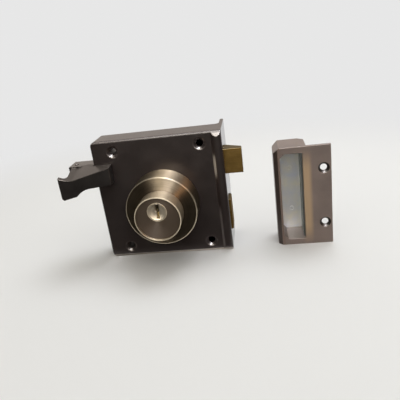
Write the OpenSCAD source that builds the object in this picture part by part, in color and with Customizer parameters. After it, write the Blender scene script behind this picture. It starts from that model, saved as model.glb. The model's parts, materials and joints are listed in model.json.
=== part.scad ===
// Rim box lock with a key cylinder, a sliding pull handle, a sprung latch, a deadbolt and a box keep.
// The origin is the centre of the case's back face, which lies on the door.
// +X points to the bolts, +Y into the door and +Z up. Lengths are in millimetres.

/* [Case] */
// Width of the case from the handle side to the bolt side
case_w = 94; // [90:0.5:104]
// Height of the case
case_h = 91.5; // [86:0.5:104]
// Depth of the case from the door to its front face
case_d = 21; // [20:0.5:26]
// Thickness of the front, top, bottom and handle side walls
wall = 2.5; // [2:0.1:2.9]
// Thickness of the forend wall that the bolts pass through
forend_t = 3; // [2:0.1:4]
// Reach of the forend lip past the back face, over the door's edge
lip_reach = 16; // [8:0.5:24]
// Thickness of the forend lip
lip_t = 2.8; // [1.6:0.1:2.9]
// Radius of the two rounded corners on the handle side
corner_r = 4; // [2:0.5:6]
// Bevel along the edges of the front face
edge_bevel = 0.9; // [0.4:0.1:1.4]
// Radius of the fillet between the lip and the back edge
lip_fillet = 3; // [1:0.5:5]
// Width of the raised bead along the forend
bead_w = 7.2; // [5:0.2:9]
// Height of the raised bead above the front face
bead_h = 2.4; // [1.4:0.2:3.2]
// Thickness of the steel back plate
back_t = 1.5; // [1:0.1:2]

/* [Fixing screws] */
// Distance of the fixing holes from the two sides of the case
screw_in_x = 15.75; // [12:0.25:17]
// Distance of the fixing holes from the top and the bottom of the case
screw_in_z = 8.25; // [7.25:0.25:8.75]
// Radius of the fixing bores
screw_bore_r = 2.4; // [1.8:0.1:2.8]
// Radius of the countersinks at the front face
screw_sink_r = 4.3; // [3.4:0.1:5]
// Wall around each fixing bore
pillar_wall = 2; // [1.2:0.1:2.3]
// Radius of the back plate screws
plate_screw_r = 1.5; // [1.2:0.1:1.8]

/* [Cylinder] */
// Offset of the cylinder to the bolt side
cyl_x = 1; // [-3:0.5:4]
// Height of the cylinder's axis, counted from the middle of the case
cyl_z = -3.8; // [-5:0.2:-2]
// Radius of the collar
collar_r = 25.3; // [22:0.1:27]
// Height of the collar's rim above the front face
collar_h = 17.3; // [12:0.1:22]
// Rise of the collar's front from its rim to the nose
collar_rise = 1.3; // [0.4:0.1:2.4]
// Radius of the cylinder's nose
nose_r = 16; // [15.6:0.1:18]
// Reach of the nose above the front face
nose_reach = 31.2; // [28:0.1:36]
// Width of the rim around the nose
nose_rim = 1; // [0.6:0.1:1.6]
// Depth of the nose's face below its rim
nose_recess = 1.7; // [0.8:0.1:2.6]
// Radius of the cylinder's threaded neck
neck_r = 14.5; // [14:0.1:15.2]
// Radius of the plug
plug_r = 6.4; // [6:0.1:6.8]
// Height of the plug's axis above the cylinder's axis
plug_lift = 4.8; // [4:0.1:5.4]
// Thickness of the ring nut inside the case
nut_t = 2.2; // [1.6:0.1:2.4]
// Number of pin stacks
pin_count = 5; // [4:1:5]
// Distance between pin stacks
pin_pitch = 4.5; // [4.2:0.1:4.8]
// Radius of the pins
pin_r = 1.5; // [1.2:0.1:1.6]
// Length of the driver pins
driver_len = 4; // [3:0.1:4.6]

/* [Latch] */
// Distance of the latch from the top of the case
latch_in = 15.75; // [14.25:0.25:16.75]
// Height of the latch
latch_h = 18; // [16:0.2:19]
// Reach of the latch past the forend
latch_reach = 12.5; // [9:0.1:15]
// Thickness of both bolts
bolt_t = 13; // [12.4:0.1:13.4]
// Thickness of the latch at its tip
latch_tip_t = 5.5; // [3:0.1:8]
// Thickness of the draw bar
bar_t = 3; // [2:0.1:3.4]
// Height of the draw bar
bar_h = 9; // [7:0.1:9.6]
// Radius of the spring's guide rod
rod_r = 1.5; // [1.2:0.1:1.7]
// Wire radius of the latch spring
spring_wire_r = 0.4; // [0.3:0.05:0.5]
// Turns of the latch spring
spring_turns = 11; // [8:1:13]

/* [Deadbolt] */
// Distance of the deadbolt from the bottom of the case
dead_in = 13.75; // [13.25:0.25:14.75]
// Height of the deadbolt
dead_h = 24; // [20:0.2:24.6]
// Reach of the drawn deadbolt past the forend
dead_proud = 1.4; // [0.4:0.1:2.4]
// Module of the pinion and the rack
gear_m = 0.8; // [0.7:0.05:0.9]
// Teeth on the pinion
pinion_teeth = 12; // [11:1:13]
// Half turn of the key, in degrees, that throws the deadbolt
key_turn = 180; // [120:10:180]
// Thickness of the rack plate
rack_t = 3; // [2:0.1:3.4]
// Radius of the post that guides the rack plate
post_r = 2; // [1.5:0.1:2.4]

/* [Handle] */
// Reach of the handle past the handle side of the case
handle_reach = 25; // [22:0.5:30]
// Reach of the tongue over the front face
tongue_reach = 14; // [8:0.5:18]
// Distance of the handle's front from the front face of the case
handle_stand = 10; // [7:0.5:13]
// Thickness of the finger flange at the free end
flange_t = 2.6; // [1.8:0.1:4]
// Width of the finger flange
flange_w = 6; // [3:0.5:8]
// Depth of the stem that enters the case
stem_d = 14.7; // [13.4:0.1:15]
// Height of the stem
stem_h = 14; // [12.6:0.2:15]
// Distance of the stem's end from the free end of the handle
stem_inset = 4; // [2:0.5:6]
// Height of the free end's upper corner above the latch's middle
grip_top = 3.2; // [2:0.2:5]
// Height of the lowest point of the upper edge above the latch's middle
grip_dip = 1; // [-1:0.2:1.8]
// Distance of that lowest point from the free end
grip_dip_x = 11; // [8:0.5:14]
// Height of the tongue's upper corner above the latch's middle
tongue_top = 8; // [6:0.2:9]
// Depth of the tongue's lower edge below the latch's middle
tongue_drop = 4.5; // [3:0.2:6]
// Depth of the free end's lower corner below the latch's middle
grip_drop = 13.6; // [10:0.2:16]
// Radius of the hollow under the grip
hollow_r = 17; // [12:0.5:24]
// Slope of the upper face towards the case, in degrees
grip_tilt = 19; // [8:1:24]
// Radius of the set screw
set_screw_r = 1.5; // [1.2:0.1:2]

/* [Keep] */
// Distance of the keep from the forend
keep_gap = 34; // [20:0.5:60]
// Height of the keep
keep_h = 74; // [72:0.5:84]
// Width of the keep's face with its flange
keep_w = 39; // [36:0.5:46]
// Width of the keep's box
keep_box_w = 22.5; // [21.6:0.1:25]
// Depth of the keep's box
keep_d = 23; // [20:0.5:28]
// Thickness of the keep's flange
keep_flange_t = 2.5; // [1.8:0.1:4]
// Distance of the window from the room side of the keep
window_in = 4.2; // [3.8:0.1:5]
// Width of the window
window_w = 15.5; // [14.8:0.1:16]
// Height of the window
window_h = 64.8; // [63.6:0.2:66]
// Bevel along the room side of the keep's face
keep_bevel = 3; // [1:0.2:3.4]
// Thickness of the zinc plated liner
liner_t = 1; // [0.6:0.1:1.4]
// Distance between the keep's screw holes
keep_span = 41; // [30:0.5:50]
// Radius of the keep's screw holes
keep_bore_r = 2.3; // [1.8:0.1:2.6]
// Radius of the keep's countersinks
keep_sink_r = 4; // [3:0.1:4.6]
// Depth of the keep's face behind the front face of the case
keep_back = 1; // [0:0.5:10]

/* [Fits] */
// Gap beside a sliding piece
slide_gap = 0.3; // [0.2:0.05:0.4]
// Gap around a turning or seated piece
fit_gap = 0.05; // [0.02:0.01:0.08]

/* [Hidden] */
$fn = 72;
cut = 0.5;

// Case planes
face_y = -case_d;
inner_y = face_y + wall;
back_y = -back_t;
side_x = -case_w / 2;
forend_x = case_w / 2;
forend_in_x = forend_x - forend_t;
inner_side_x = side_x + wall;
half_h = case_h / 2;
inner_half_h = half_h - wall;
latch_z = half_h - latch_in - latch_h / 2;
dead_z = dead_in + dead_h / 2 - half_h;
pillar_r = screw_bore_r + pillar_wall;
fixing_x = case_w / 2 - screw_in_x;
fixing_z = half_h - screw_in_z;

// Back plate screws: one near each side of the case
boss_wall = 1.8;
boss_clear = 0.6;
plate_head_over = 1.1;
boss_r = plate_screw_r + boss_wall;
plate_head_r = plate_screw_r + plate_head_over;
boss_in = boss_r + boss_clear;
boss_places = [
    [cyl_x, inner_half_h - boss_in],
    [cyl_x, boss_in - inner_half_h],
    [inner_side_x + boss_in, cyl_z],
    [forend_in_x - boss_in, (latch_z - latch_h / 2 + dead_z + dead_h / 2) / 2]
];
boss_hole_deep = 9;

// Cylinder
shoulder_deep = 0.7;
neck_past_nut = 0.3;
nut_wall = 4;
pin_gap = 0.1;
first_pin_in = 6;
shear_gap = 0.25;
pin_plug_in = 0.3;
pin_plug_len = 2.6;
pin_spring_wire_r = 0.2;
pin_spring_in = 0.4;
pin_spring_turns = 5;
key_pin_lens = [4.2, 3.4, 4.6, 3.8, 3];
keyway_w = 2.2;
keyway_rim = 1.6;
keyway_deep = 24;
stub_step = 1.4;
stub_len = 1.5;
clip_t = 1;
clip_over = 1.6;
clip_gap = 0.2;
plug_z = cyl_z + plug_lift;
shoulder_h = collar_h - shoulder_deep;
nose_face_h = nose_reach - nose_recess;
nut_y = inner_y + nut_t;
cyl_rear_y = nut_y + neck_past_nut;
cyl_rear_h = face_y - cyl_rear_y;
nut_r = neck_r + nut_wall;
chamber_r = pin_r + pin_gap;
first_pin_h = nose_face_h - first_pin_in;
pin_top_z = plug_z - plug_r + shear_gap;
driver_top_z = plug_z - plug_r - shear_gap;
pin_bottom_z = cyl_z - neck_r + pin_plug_in;
keyway_top = plug_r - keyway_rim;
stub_r = plug_r - stub_step;
clip_r = plug_r + clip_over;

// Drive from the plug to the deadbolt
pitch_r = gear_m * pinion_teeth / 2;
throw = pitch_r * key_turn * PI / 180;
pressure = 20;
backlash = 0.25;
pinion_add = 0.85 * gear_m;
rack_add = 0.6 * gear_m;
root_gap = 0.25;
pinion_over = 1;
bar_share = 0.7;
hub_step = 0.9;
bush_wall = 1.8;
bush_past = 2;
tail_w = 2;
tail_step = 1.4;
tail_in = 3;
pinion_t = rack_t + pinion_over;
bolt_back_y = back_y - slide_gap;
bolt_front_y = bolt_back_y - bolt_t;
mid_y = bolt_back_y - bolt_t * bar_share;
hub_r = pitch_r - rack_add - hub_step;
bush_len = back_t + bush_past;
tail_h = 2 * hub_r - tail_step;
tail_y0 = cyl_rear_y - tail_in;
tail_y1 = mid_y + pinion_t / 2 - pinion_over;

// Deadbolt and its rack plate
bolt_hold = 7;
tongue_len = 10;
tongue_h = 12;
rack_depth = 6;
post_in = 6;
rack_end = 3.5;
tooth_last = 1;
rivet_r = 1.5;
dead_x0 = forend_in_x - throw - bolt_hold;
dead_x1 = forend_x + dead_proud;
rack_pitch = PI * gear_m;
rack_line_z = plug_z - pitch_r;
rack_top_z = rack_line_z - pinion_add - root_gap;
rack_low_z = dead_z - rack_depth;
post_x = cyl_x - post_in;
slot_r = post_r + slide_gap;
rack_x0 = post_x - throw - slot_r - rack_end;
tooth_first = -ceil(throw / rack_pitch) - 2;

// Leaf that brakes the rack plate
leaf_t = 0.6;
leaf_eye_r = 1.5;
leaf_lead = 9;
leaf_past = 11;
leaf_w = rack_t;
leaf_top_z = rack_low_z - slide_gap;
leaf_post_z = leaf_top_z - leaf_eye_r - fit_gap - leaf_t;
leaf_post_x = rack_x0 - leaf_lead;
leaf_len = throw + leaf_past;

// Latch, draw bar and spring
latch_tail = 11;
latch_left = 0.3;
bar_seat = 9;
rod_in = 3.7;
rod_lift = 3;
rod_seat = 6;
rod_past = 3;
bracket_lead = 1;
bracket_t = 4;
bracket_h = 10;
spring_in = 0.6;
spring_end_gap = 0.2;
latch_x0 = forend_in_x - latch_tail;
latch_tip_x = forend_x + latch_reach;
latch_travel = latch_reach - latch_left;
bar_top_z = latch_z + bar_h / 3;
rod_y = bolt_back_y - rod_in;
rod_z = latch_z + rod_lift;
bracket_x0 = cyl_x - bracket_lead;
spring_r = rod_r + spring_wire_r + spring_in;
spring_len = latch_x0 - bracket_x0 - bracket_t - 2 * spring_end_gap;

// Riveted ends that hold the posts and the spring bracket in the back plate
tenon_r = 1.2;
tenon_places = [
    [post_x, dead_z], [leaf_post_x, leaf_post_z],
    [bracket_x0 + bracket_t / 2, rod_z - bracket_h / 3],
    [bracket_x0 + bracket_t / 2, rod_z + bracket_h / 3]
];

// Pull handle
stem_hold = 4;
bar_end_wall = 1.6;
set_screw_in = 4.4;
set_screw_sunk = 0.8;
hollow_in = 11.6;
hollow_w = 11;
grip_x0 = side_x - handle_reach;
tongue_x1 = side_x + tongue_reach;
grip_front_y = face_y - handle_stand;
tongue_back_y = face_y - slide_gap;
stem_front_y = bolt_back_y - stem_d;
stem_x0 = grip_x0 + stem_inset;
stem_x1 = inner_side_x + latch_travel + stem_hold;
stem_top_z = latch_z + stem_h / 2;
bar_x0 = stem_x0 + bar_end_wall;
set_screw_x = stem_x0 + set_screw_in;

// Keep
keep_floor_t = 2;
window_chamfer = 3;
keep_corner = 4;
keep_edge = 0.4;
side_hole_r = 1.5;
side_hole_left = 0.8;
keep_screw_in = 5.2;
keep_rivet_head_t = 0.6;
keep_x = forend_x + keep_gap;
keep_y = face_y + keep_back;
keep_z = keep_h / 2 - half_h;
keep_end = (keep_h - window_h) / 2;
keep_screw_x = keep_w - keep_screw_in;
keep_liner_y = keep_d - keep_floor_t - liner_t;

// Straight solids along the three axes
module along_y(y0, y1) {
    translate([0, y1, 0])
        rotate([90, 0, 0])
            linear_extrude(y1 - y0)
                children();
}

module along_x(x0, x1) {
    translate([x0, 0, 0])
        rotate([90, 0, 90])
            linear_extrude(x1 - x0)
                children();
}

module rod_y(r, y0, y1) {
    translate([0, y1, 0])
        rotate([90, 0, 0])
            cylinder(r = r, h = y1 - y0);
}

module block(low, high) {
    translate(low)
        cube(high - low);
}

// A profile of radius and height above the front face, turned about the axis of the cylinder
module turned(z) {
    translate([cyl_x, face_y, z])
        rotate([90, 0, 0])
            rotate_extrude()
                children();
}

// A countersunk screw bore from a face at y0 to y1, with its wide end at y0
module sunk_bore(r, sink_r, y0, y1) {
    rod_y(r, y0 - cut, y1);
    translate([0, y0, 0])
        rotate([-90, 0, 0])
            cylinder(r1 = sink_r, r2 = r, h = sink_r - r);
    rod_y(sink_r, y0 - cut - bead_h, y0);
}

// A coil of round wire along X, from one end at the origin
module coil(r, wire_r, len, turns) {
    rings = 8;
    sides = 6;
    last = rings * turns;
    run = len - 2 * wire_r;
    points = [
        for (i = [0 : last])
            for (s = [0 : sides - 1])
                let (a = 360 * i / rings, b = 360 * s / sides, q = r + wire_r * cos(b))
                    [wire_r + run * i / last + wire_r * sin(b), q * cos(a), q * sin(a)]
    ];
    walls = [
        for (i = [0 : last - 1])
            for (s = [0 : sides - 1])
                let (a = i * sides + s, b = i * sides + (s + 1) % sides)
                    each [[a, a + sides, b], [b, a + sides, b + sides]]
    ];
    caps = [
        for (s = [1 : sides - 2])
            each [[0, s, s + 1], [last * sides, last * sides + s + 1, last * sides + s]]
    ];
    echo(coil_gap = run / turns - 2 * wire_r);
    polyhedron(points, concat(walls, caps));
}

// Points on an arc of radius r from p to q, whose centre lies to the right of the way from p to q
function arc(p, q, r, steps) =
    let (d = q - p, len = norm(d), n = [d.y, -d.x] / len)
    let (c = (p + q) / 2 + n * sqrt(r * r - len * len / 4))
    let (a = atan2(p.y - c.y, p.x - c.x), b = atan2(q.y - c.y, q.x - c.x))
    [for (i = [0 : steps]) let (t = a + (b - a) * i / steps) c + r * [cos(t), sin(t)]];

// Front outline of the case, with round corners on the handle side
module case_outline() {
    difference() {
        translate([side_x, -half_h])
            square([case_w, case_h]);
        for (s = [-1, 1])
            translate([side_x, s * (half_h - corner_r / 2) - corner_r / 2])
                square(corner_r);
    }
    for (s = [-1, 1])
        translate([side_x + corner_r, s * (half_h - corner_r)])
            circle(corner_r);
}

// Half round bead along the forend, with both ends sloped
module forend_bead() {
    bead_r = (bead_w * bead_w / 4 + bead_h * bead_h) / (2 * bead_h);
    end = bead_h * 1.6;
    intersection() {
        translate([forend_x - bead_w / 2, face_y - bead_h + bead_r, -half_h])
            cylinder(r = bead_r, h = case_h);
        along_x(forend_x - bead_w, forend_x)
            polygon([
                [face_y + edge_bevel, edge_bevel - half_h], [face_y, edge_bevel - half_h],
                [face_y - bead_h, end - half_h], [face_y - bead_h, half_h - end],
                [face_y, half_h - edge_bevel], [face_y + edge_bevel, half_h - edge_bevel]
            ]);
    }
}

// Lip behind the forend, with a round edge and a fillet against the case
module forend_lip() {
    edge_r = lip_t / 2;
    lip_x = forend_x - lip_t;
    block([lip_x, -wall, -half_h], [forend_x, lip_reach - edge_r, half_h]);
    translate([forend_x - edge_r, lip_reach - edge_r, -half_h])
        cylinder(r = edge_r, h = case_h);
    for (s = [-1, 1])
        translate([0, 0, s * (half_h - wall / 2) - wall / 2])
            difference() {
                translate([lip_x - lip_fillet, -cut, 0])
                    cube([lip_fillet + cut, lip_fillet + cut, wall]);
                translate([lip_x - lip_fillet, lip_fillet, -cut])
                    cylinder(r = lip_fillet, h = wall + 2 * cut);
            }
}

module fixing_places() {
    for (x = [-1, 1], z = [-1, 1])
        translate([x * fixing_x, 0, z * fixing_z])
            children();
}

module boss_spots() {
    for (p = boss_places)
        translate([p.x, 0, p.y])
            children();
}

// Cast case: one shell with the front, the four sides, the forend lip and the pillars
module lock_case() {
    color([0.2, 0.14, 0.13])
    difference() {
        union() {
            intersection() {
                along_y(face_y, 0)
                    case_outline();
                along_x(side_x, forend_x)
                    polygon([
                        [face_y, edge_bevel - half_h], [face_y + edge_bevel, -half_h], [0, -half_h],
                        [0, half_h], [face_y + edge_bevel, half_h], [face_y, half_h - edge_bevel]
                    ]);
                translate([0, 0, -half_h])
                    linear_extrude(case_h)
                        polygon([
                            [side_x, 0], [side_x, face_y + edge_bevel], [side_x + edge_bevel, face_y],
                            [forend_x, face_y], [forend_x, 0]
                        ]);
            }
            forend_bead();
            forend_lip();
        }
        difference() {
            block([inner_side_x, inner_y, -inner_half_h], [forend_in_x, cut, inner_half_h]);
            fixing_places()
                rod_y(pillar_r, inner_y - cut, back_y);
            boss_spots()
                rod_y(boss_r, inner_y - cut, back_y);
        }
        fixing_places()
            sunk_bore(screw_bore_r, screw_sink_r, face_y, cut);
        boss_spots()
            rod_y(plate_screw_r + fit_gap, back_y - boss_hole_deep, cut);
        translate([cyl_x, 0, cyl_z])
            rod_y(neck_r + fit_gap, face_y - cut, inner_y + cut);
        bolt_way(latch_z, latch_h);
        bolt_way(dead_z, dead_h);
        block(
            [side_x - cut, stem_front_y - slide_gap, latch_z - stem_h / 2 - slide_gap],
            [inner_side_x + cut, back_y, stem_top_z + slide_gap]
        );
    }
}

// Opening in the forend for a bolt
module bolt_way(z, h) {
    block(
        [forend_in_x - cut, bolt_front_y - slide_gap, z - h / 2 - slide_gap],
        [forend_x + cut, back_y, z + h / 2 + slide_gap]
    );
}

// Steel plate that closes the case against the door
module back_plate() {
    color([0.66, 0.67, 0.68])
    difference() {
        block(
            [inner_side_x + fit_gap, back_y, fit_gap - inner_half_h],
            [forend_in_x - fit_gap, 0, inner_half_h - fit_gap]
        );
        fixing_places()
            rod_y(screw_bore_r, back_y - cut, cut);
        boss_spots()
            mirror([0, 1, 0])
                sunk_bore(plate_screw_r + fit_gap, plate_head_r + fit_gap, 0, back_t + cut);
        translate([cyl_x, 0, plug_z])
            rod_y(hub_r + bush_wall + fit_gap, back_y - cut, cut);
        tenon_spots()
            rod_y(tenon_r + fit_gap, back_y - cut, cut);
    }
}

module tenon_spots() {
    for (p = tenon_places)
        translate([p.x, 0, p.y])
            children();
}

// Countersunk screws of the back plate
module back_plate_screws() {
    drive_w = 0.7;
    color([0.72, 0.72, 0.74])
    boss_spots()
        difference() {
            union() {
                rod_y(plate_screw_r, 1 - boss_hole_deep, 0);
                rotate([90, 0, 0])
                    cylinder(r1 = plate_head_r, r2 = plate_screw_r, h = plate_head_r - plate_screw_r);
            }
            block([-plate_head_r, -drive_w, -drive_w / 2], [plate_head_r, cut, drive_w / 2]);
        }
}

// Turned collar that covers the cylinder's root
module cylinder_collar() {
    rim = 0.6;
    color([0.36, 0.27, 0.2])
    turned(cyl_z)
        polygon([
            [neck_r + fit_gap, 0], [collar_r, 0], [collar_r, collar_h - rim], [collar_r - rim, collar_h],
            [nose_r + fit_gap, collar_h + collar_rise], [nose_r + fit_gap, shoulder_h],
            [neck_r + fit_gap, shoulder_h]
        ]);
}

module pin_spots() {
    for (i = [0 : pin_count - 1])
        translate([cyl_x, face_y - first_pin_h + i * pin_pitch, 0])
            children();
}

// Cylinder body: the nose, its recessed face, the threaded neck and the pin chambers
module cylinder_body() {
    rim_bevel = 0.4;
    color([0.42, 0.32, 0.22])
    difference() {
        turned(cyl_z)
            polygon([
                [0, cyl_rear_h], [neck_r, cyl_rear_h], [neck_r, shoulder_h], [nose_r, shoulder_h],
                [nose_r, nose_reach - rim_bevel], [nose_r - rim_bevel, nose_reach],
                [nose_r - nose_rim, nose_reach], [nose_r - nose_rim, nose_face_h], [0, nose_face_h]
            ]);
        translate([cyl_x, 0, plug_z])
            rod_y(plug_r + fit_gap, face_y - nose_reach - cut, cyl_rear_y + cut);
        pin_spots()
            translate([0, 0, cyl_z - nose_r - cut])
                cylinder(r = chamber_r, h = plug_z - cyl_z + nose_r);
    }
}

// Ring nut that clamps the cylinder and its collar to the front wall
module cylinder_nut() {
    notch_w = 3;
    color([0.62, 0.55, 0.4])
    difference() {
        translate([cyl_x, 0, cyl_z])
            rod_y(nut_r, inner_y, nut_y);
        translate([cyl_x, 0, cyl_z])
            rod_y(neck_r + fit_gap, inner_y - cut, nut_y + cut);
        for (a = [45 : 90 : 315])
            translate([cyl_x, 0, cyl_z])
                rotate([0, a, 0])
                    block([nut_r - 1.4, inner_y - cut, -notch_w / 2], [nut_r + cut, nut_y + cut, notch_w / 2]);
    }
}

// Driver pins below the shear line
module driver_pins() {
    color([0.72, 0.58, 0.3])
    pin_spots()
        translate([0, 0, driver_top_z - driver_len])
            cylinder(r = pin_r, h = driver_len);
}

// Springs that lift the pins
module pin_springs() {
    seat_z = pin_bottom_z + pin_plug_len + pin_gap;
    color([0.7, 0.7, 0.72])
    pin_spots()
        translate([0, 0, seat_z])
            rotate([0, -90, 0])
                coil(
                    pin_r - pin_spring_in, pin_spring_wire_r,
                    driver_top_z - driver_len - pin_gap - seat_z, pin_spring_turns
                );
}

// Plugs that close the pin chambers
module pin_plugs() {
    color([0.5, 0.38, 0.22])
    pin_spots()
        translate([0, 0, pin_bottom_z])
            cylinder(r = chamber_r - fit_gap, h = pin_plug_len);
}

// Turning plug with the keyway, the pin holes and a slot for the tail
module cylinder_plug() {
    ward = 0.5;
    front_y = face_y - nose_face_h;
    color([0.78, 0.68, 0.48])
    difference() {
        translate([cyl_x, 0, plug_z]) {
            rod_y(plug_r, front_y, cyl_rear_y);
            rod_y(stub_r, cyl_rear_y - cut, cyl_rear_y + stub_len);
        }
        translate([cyl_x, 0, plug_z]) {
            block(
                [-keyway_w / 2, front_y - cut, keyway_top - 4],
                [keyway_w / 2, front_y + keyway_deep, keyway_top]
            );
            block(
                [ward - keyway_w / 2, front_y - cut, -keyway_top],
                [keyway_w / 2, front_y + keyway_deep, keyway_top - 3]
            );
            block(
                [-tail_w / 2 - fit_gap, tail_y0, -tail_h / 2 - fit_gap],
                [tail_w / 2 + fit_gap, cyl_rear_y + stub_len + cut, tail_h / 2 + fit_gap]
            );
        }
        pin_spots()
            translate([0, 0, plug_z - plug_r - cut])
                cylinder(r = chamber_r, h = plug_r + cut);
    }
}

// Key pins, lifted to the shear line as the right key lifts them
module key_pins() {
    color([0.76, 0.62, 0.32])
    for (i = [0 : pin_count - 1])
        translate([cyl_x, face_y - first_pin_h + i * pin_pitch, pin_top_z])
            cylinder(r = pin_r, h = key_pin_lens[i]);
}

// Ring that keeps the plug in the cylinder
module plug_clip() {
    color([0.6, 0.6, 0.62])
    translate([cyl_x, 0, plug_z])
        difference() {
            rod_y(clip_r, cyl_rear_y + clip_gap, cyl_rear_y + clip_gap + clip_t);
            rod_y(stub_r + fit_gap, cyl_rear_y - cut, cyl_rear_y + stub_len + cut);
        }
}

// Flat tail between the plug and the pinion
module drive_tail() {
    color([0.58, 0.58, 0.6])
    translate([cyl_x, 0, plug_z])
        block([-tail_w / 2, tail_y0 + fit_gap, -tail_h / 2], [tail_w / 2, tail_y1, tail_h / 2]);
}

function involute(a) = tan(a) * 180 / PI - a;

// Half angle of a pinion tooth at radius r
function tooth_half(r) =
    let (base = pitch_r * cos(pressure), a = r > base ? acos(base / r) : 0)
    90 / pinion_teeth - backlash / pitch_r * 45 / PI + involute(pressure) - involute(a);

// Pinion on the plug's axis, with a rear hub that turns in the back plate
module drive_pinion() {
    root_r = pitch_r - rack_add - root_gap;
    tip_r = pitch_r + pinion_add;
    base_r = pitch_r * cos(pressure);
    radii = [root_r, base_r, (base_r + pitch_r) / 2, pitch_r, (pitch_r + tip_r) / 2, tip_r];
    outline = [
        for (k = [0 : pinion_teeth - 1])
            let (mid = 360 * k / pinion_teeth - 90)
                each concat(
                    [for (r = radii) r * [cos(mid - tooth_half(r)), sin(mid - tooth_half(r))]],
                    [for (i = [len(radii) - 1 : -1 : 0])
                        let (r = radii[i]) r * [cos(mid + tooth_half(r)), sin(mid + tooth_half(r))]]
                )
    ];
    socket_w = 2;
    socket_deep = 4;
    color([0.6, 0.6, 0.62])
    translate([cyl_x, 0, plug_z])
        difference() {
            union() {
                along_y(mid_y - pinion_t / 2, mid_y + pinion_t / 2)
                    polygon(outline);
                rod_y(hub_r, mid_y, -fit_gap);
            }
            block(
                [-tail_w / 2 - fit_gap, mid_y - pinion_t, -tail_h / 2 - fit_gap],
                [tail_w / 2 + fit_gap, tail_y1 + fit_gap, tail_h / 2 + fit_gap]
            );
            block([-socket_w / 2, -socket_deep, -hub_r], [socket_w / 2, cut, hub_r]);
        }
}

// Bush in the back plate for the pinion's hub
module pinion_bush() {
    color([0.74, 0.6, 0.32])
    translate([cyl_x, 0, plug_z])
        difference() {
            rod_y(hub_r + bush_wall, -bush_len, 0);
            rod_y(hub_r + fit_gap, -bush_len - cut, cut);
        }
}

module dead_rivet_spots() {
    for (s = [-1, 1])
        translate([dead_x0 + tongue_len / 2, 0, dead_z + s * tongue_h / 4])
            children();
}

// Brass deadbolt, slotted at its rear for the rack plate
module deadbolt() {
    nose_bevel = 0.6;
    color([0.72, 0.6, 0.3])
    difference() {
        intersection() {
            block(
                [dead_x0, bolt_front_y, dead_z - dead_h / 2],
                [dead_x1, bolt_back_y, dead_z + dead_h / 2]
            );
            along_y(bolt_front_y - cut, bolt_back_y + cut)
                polygon([
                    [dead_x0, dead_z - dead_h / 2], [dead_x1 - nose_bevel, dead_z - dead_h / 2],
                    [dead_x1, dead_z - dead_h / 2 + nose_bevel], [dead_x1, dead_z + dead_h / 2 - nose_bevel],
                    [dead_x1 - nose_bevel, dead_z + dead_h / 2], [dead_x0, dead_z + dead_h / 2]
                ]);
        }
        block(
            [dead_x0 - cut, mid_y - rack_t / 2 - fit_gap, dead_z - dead_h],
            [dead_x0 + tongue_len + fit_gap, mid_y + rack_t / 2 + fit_gap, dead_z + dead_h]
        );
        dead_rivet_spots()
            rod_y(rivet_r + fit_gap, bolt_front_y - cut, bolt_back_y + cut);
    }
}

// Steel plate with the rack, guided by a slot on its post
module rack_plate() {
    color([0.62, 0.63, 0.65])
    difference() {
        along_y(mid_y - rack_t / 2, mid_y + rack_t / 2)
            difference() {
                union() {
                    translate([rack_x0, rack_low_z])
                        square([dead_x0 - rack_x0, rack_top_z - rack_low_z]);
                    translate([dead_x0 - cut, dead_z - tongue_h / 2])
                        square([tongue_len + cut, tongue_h]);
                    for (k = [tooth_first : tooth_last])
                        translate([cyl_x + (k + 0.5) * rack_pitch, rack_line_z])
                            rack_tooth();
                }
                translate([post_x - throw, dead_z - slot_r])
                    square([throw, 2 * slot_r]);
                for (x = [post_x - throw, post_x])
                    translate([x, dead_z])
                        circle(slot_r);
            }
        dead_rivet_spots()
            rod_y(rivet_r + fit_gap, mid_y - rack_t, mid_y + rack_t);
    }
}

// One tooth, from below the root line up to its tip
module rack_tooth() {
    half = rack_pitch / 4 - backlash / 4;
    low = rack_top_z - rack_line_z;
    polygon([
        [-half + low * tan(pressure), low - cut], [half - low * tan(pressure), low - cut],
        [half - low * tan(pressure), low], [half - rack_add * tan(pressure), rack_add],
        [rack_add * tan(pressure) - half, rack_add], [low * tan(pressure) - half, low]
    ]);
}

// Rivets through the deadbolt and the rack plate
module deadbolt_rivets() {
    color([0.6, 0.6, 0.62])
    dead_rivet_spots()
        rod_y(rivet_r, bolt_front_y, bolt_back_y);
}

// Post in the back plate that guides the rack plate
module rack_post() {
    color([0.64, 0.64, 0.66])
    translate([post_x, 0, dead_z]) {
        rod_y(post_r, mid_y - rack_t / 2 - 1, back_y);
        rod_y(tenon_r, back_y - cut, 0);
    }
}

// Leaf under the rack plate, wound round its post
module leaf_spring() {
    eye = leaf_eye_r + fit_gap;
    color([0.5, 0.5, 0.52])
    difference() {
        union() {
            translate([leaf_post_x, 0, leaf_post_z])
                rod_y(eye + leaf_t, mid_y - leaf_w / 2, mid_y + leaf_w / 2);
            block(
                [leaf_post_x, mid_y - leaf_w / 2, leaf_top_z - leaf_t],
                [leaf_post_x + leaf_len, mid_y + leaf_w / 2, leaf_top_z]
            );
        }
        translate([leaf_post_x, 0, leaf_post_z])
            rod_y(eye, mid_y - leaf_w, mid_y + leaf_w);
    }
}

// Post that carries the leaf
module leaf_post() {
    color([0.64, 0.64, 0.66])
    translate([leaf_post_x, 0, leaf_post_z]) {
        rod_y(leaf_eye_r, mid_y - leaf_w / 2 - 0.5, back_y);
        rod_y(tenon_r, back_y - cut, 0);
    }
}

module latch_rivet_spots() {
    for (x = [0.28, 0.72])
        translate([latch_x0 + x * bar_seat, 0, bar_top_z - bar_h / 2])
            children();
}

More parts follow.
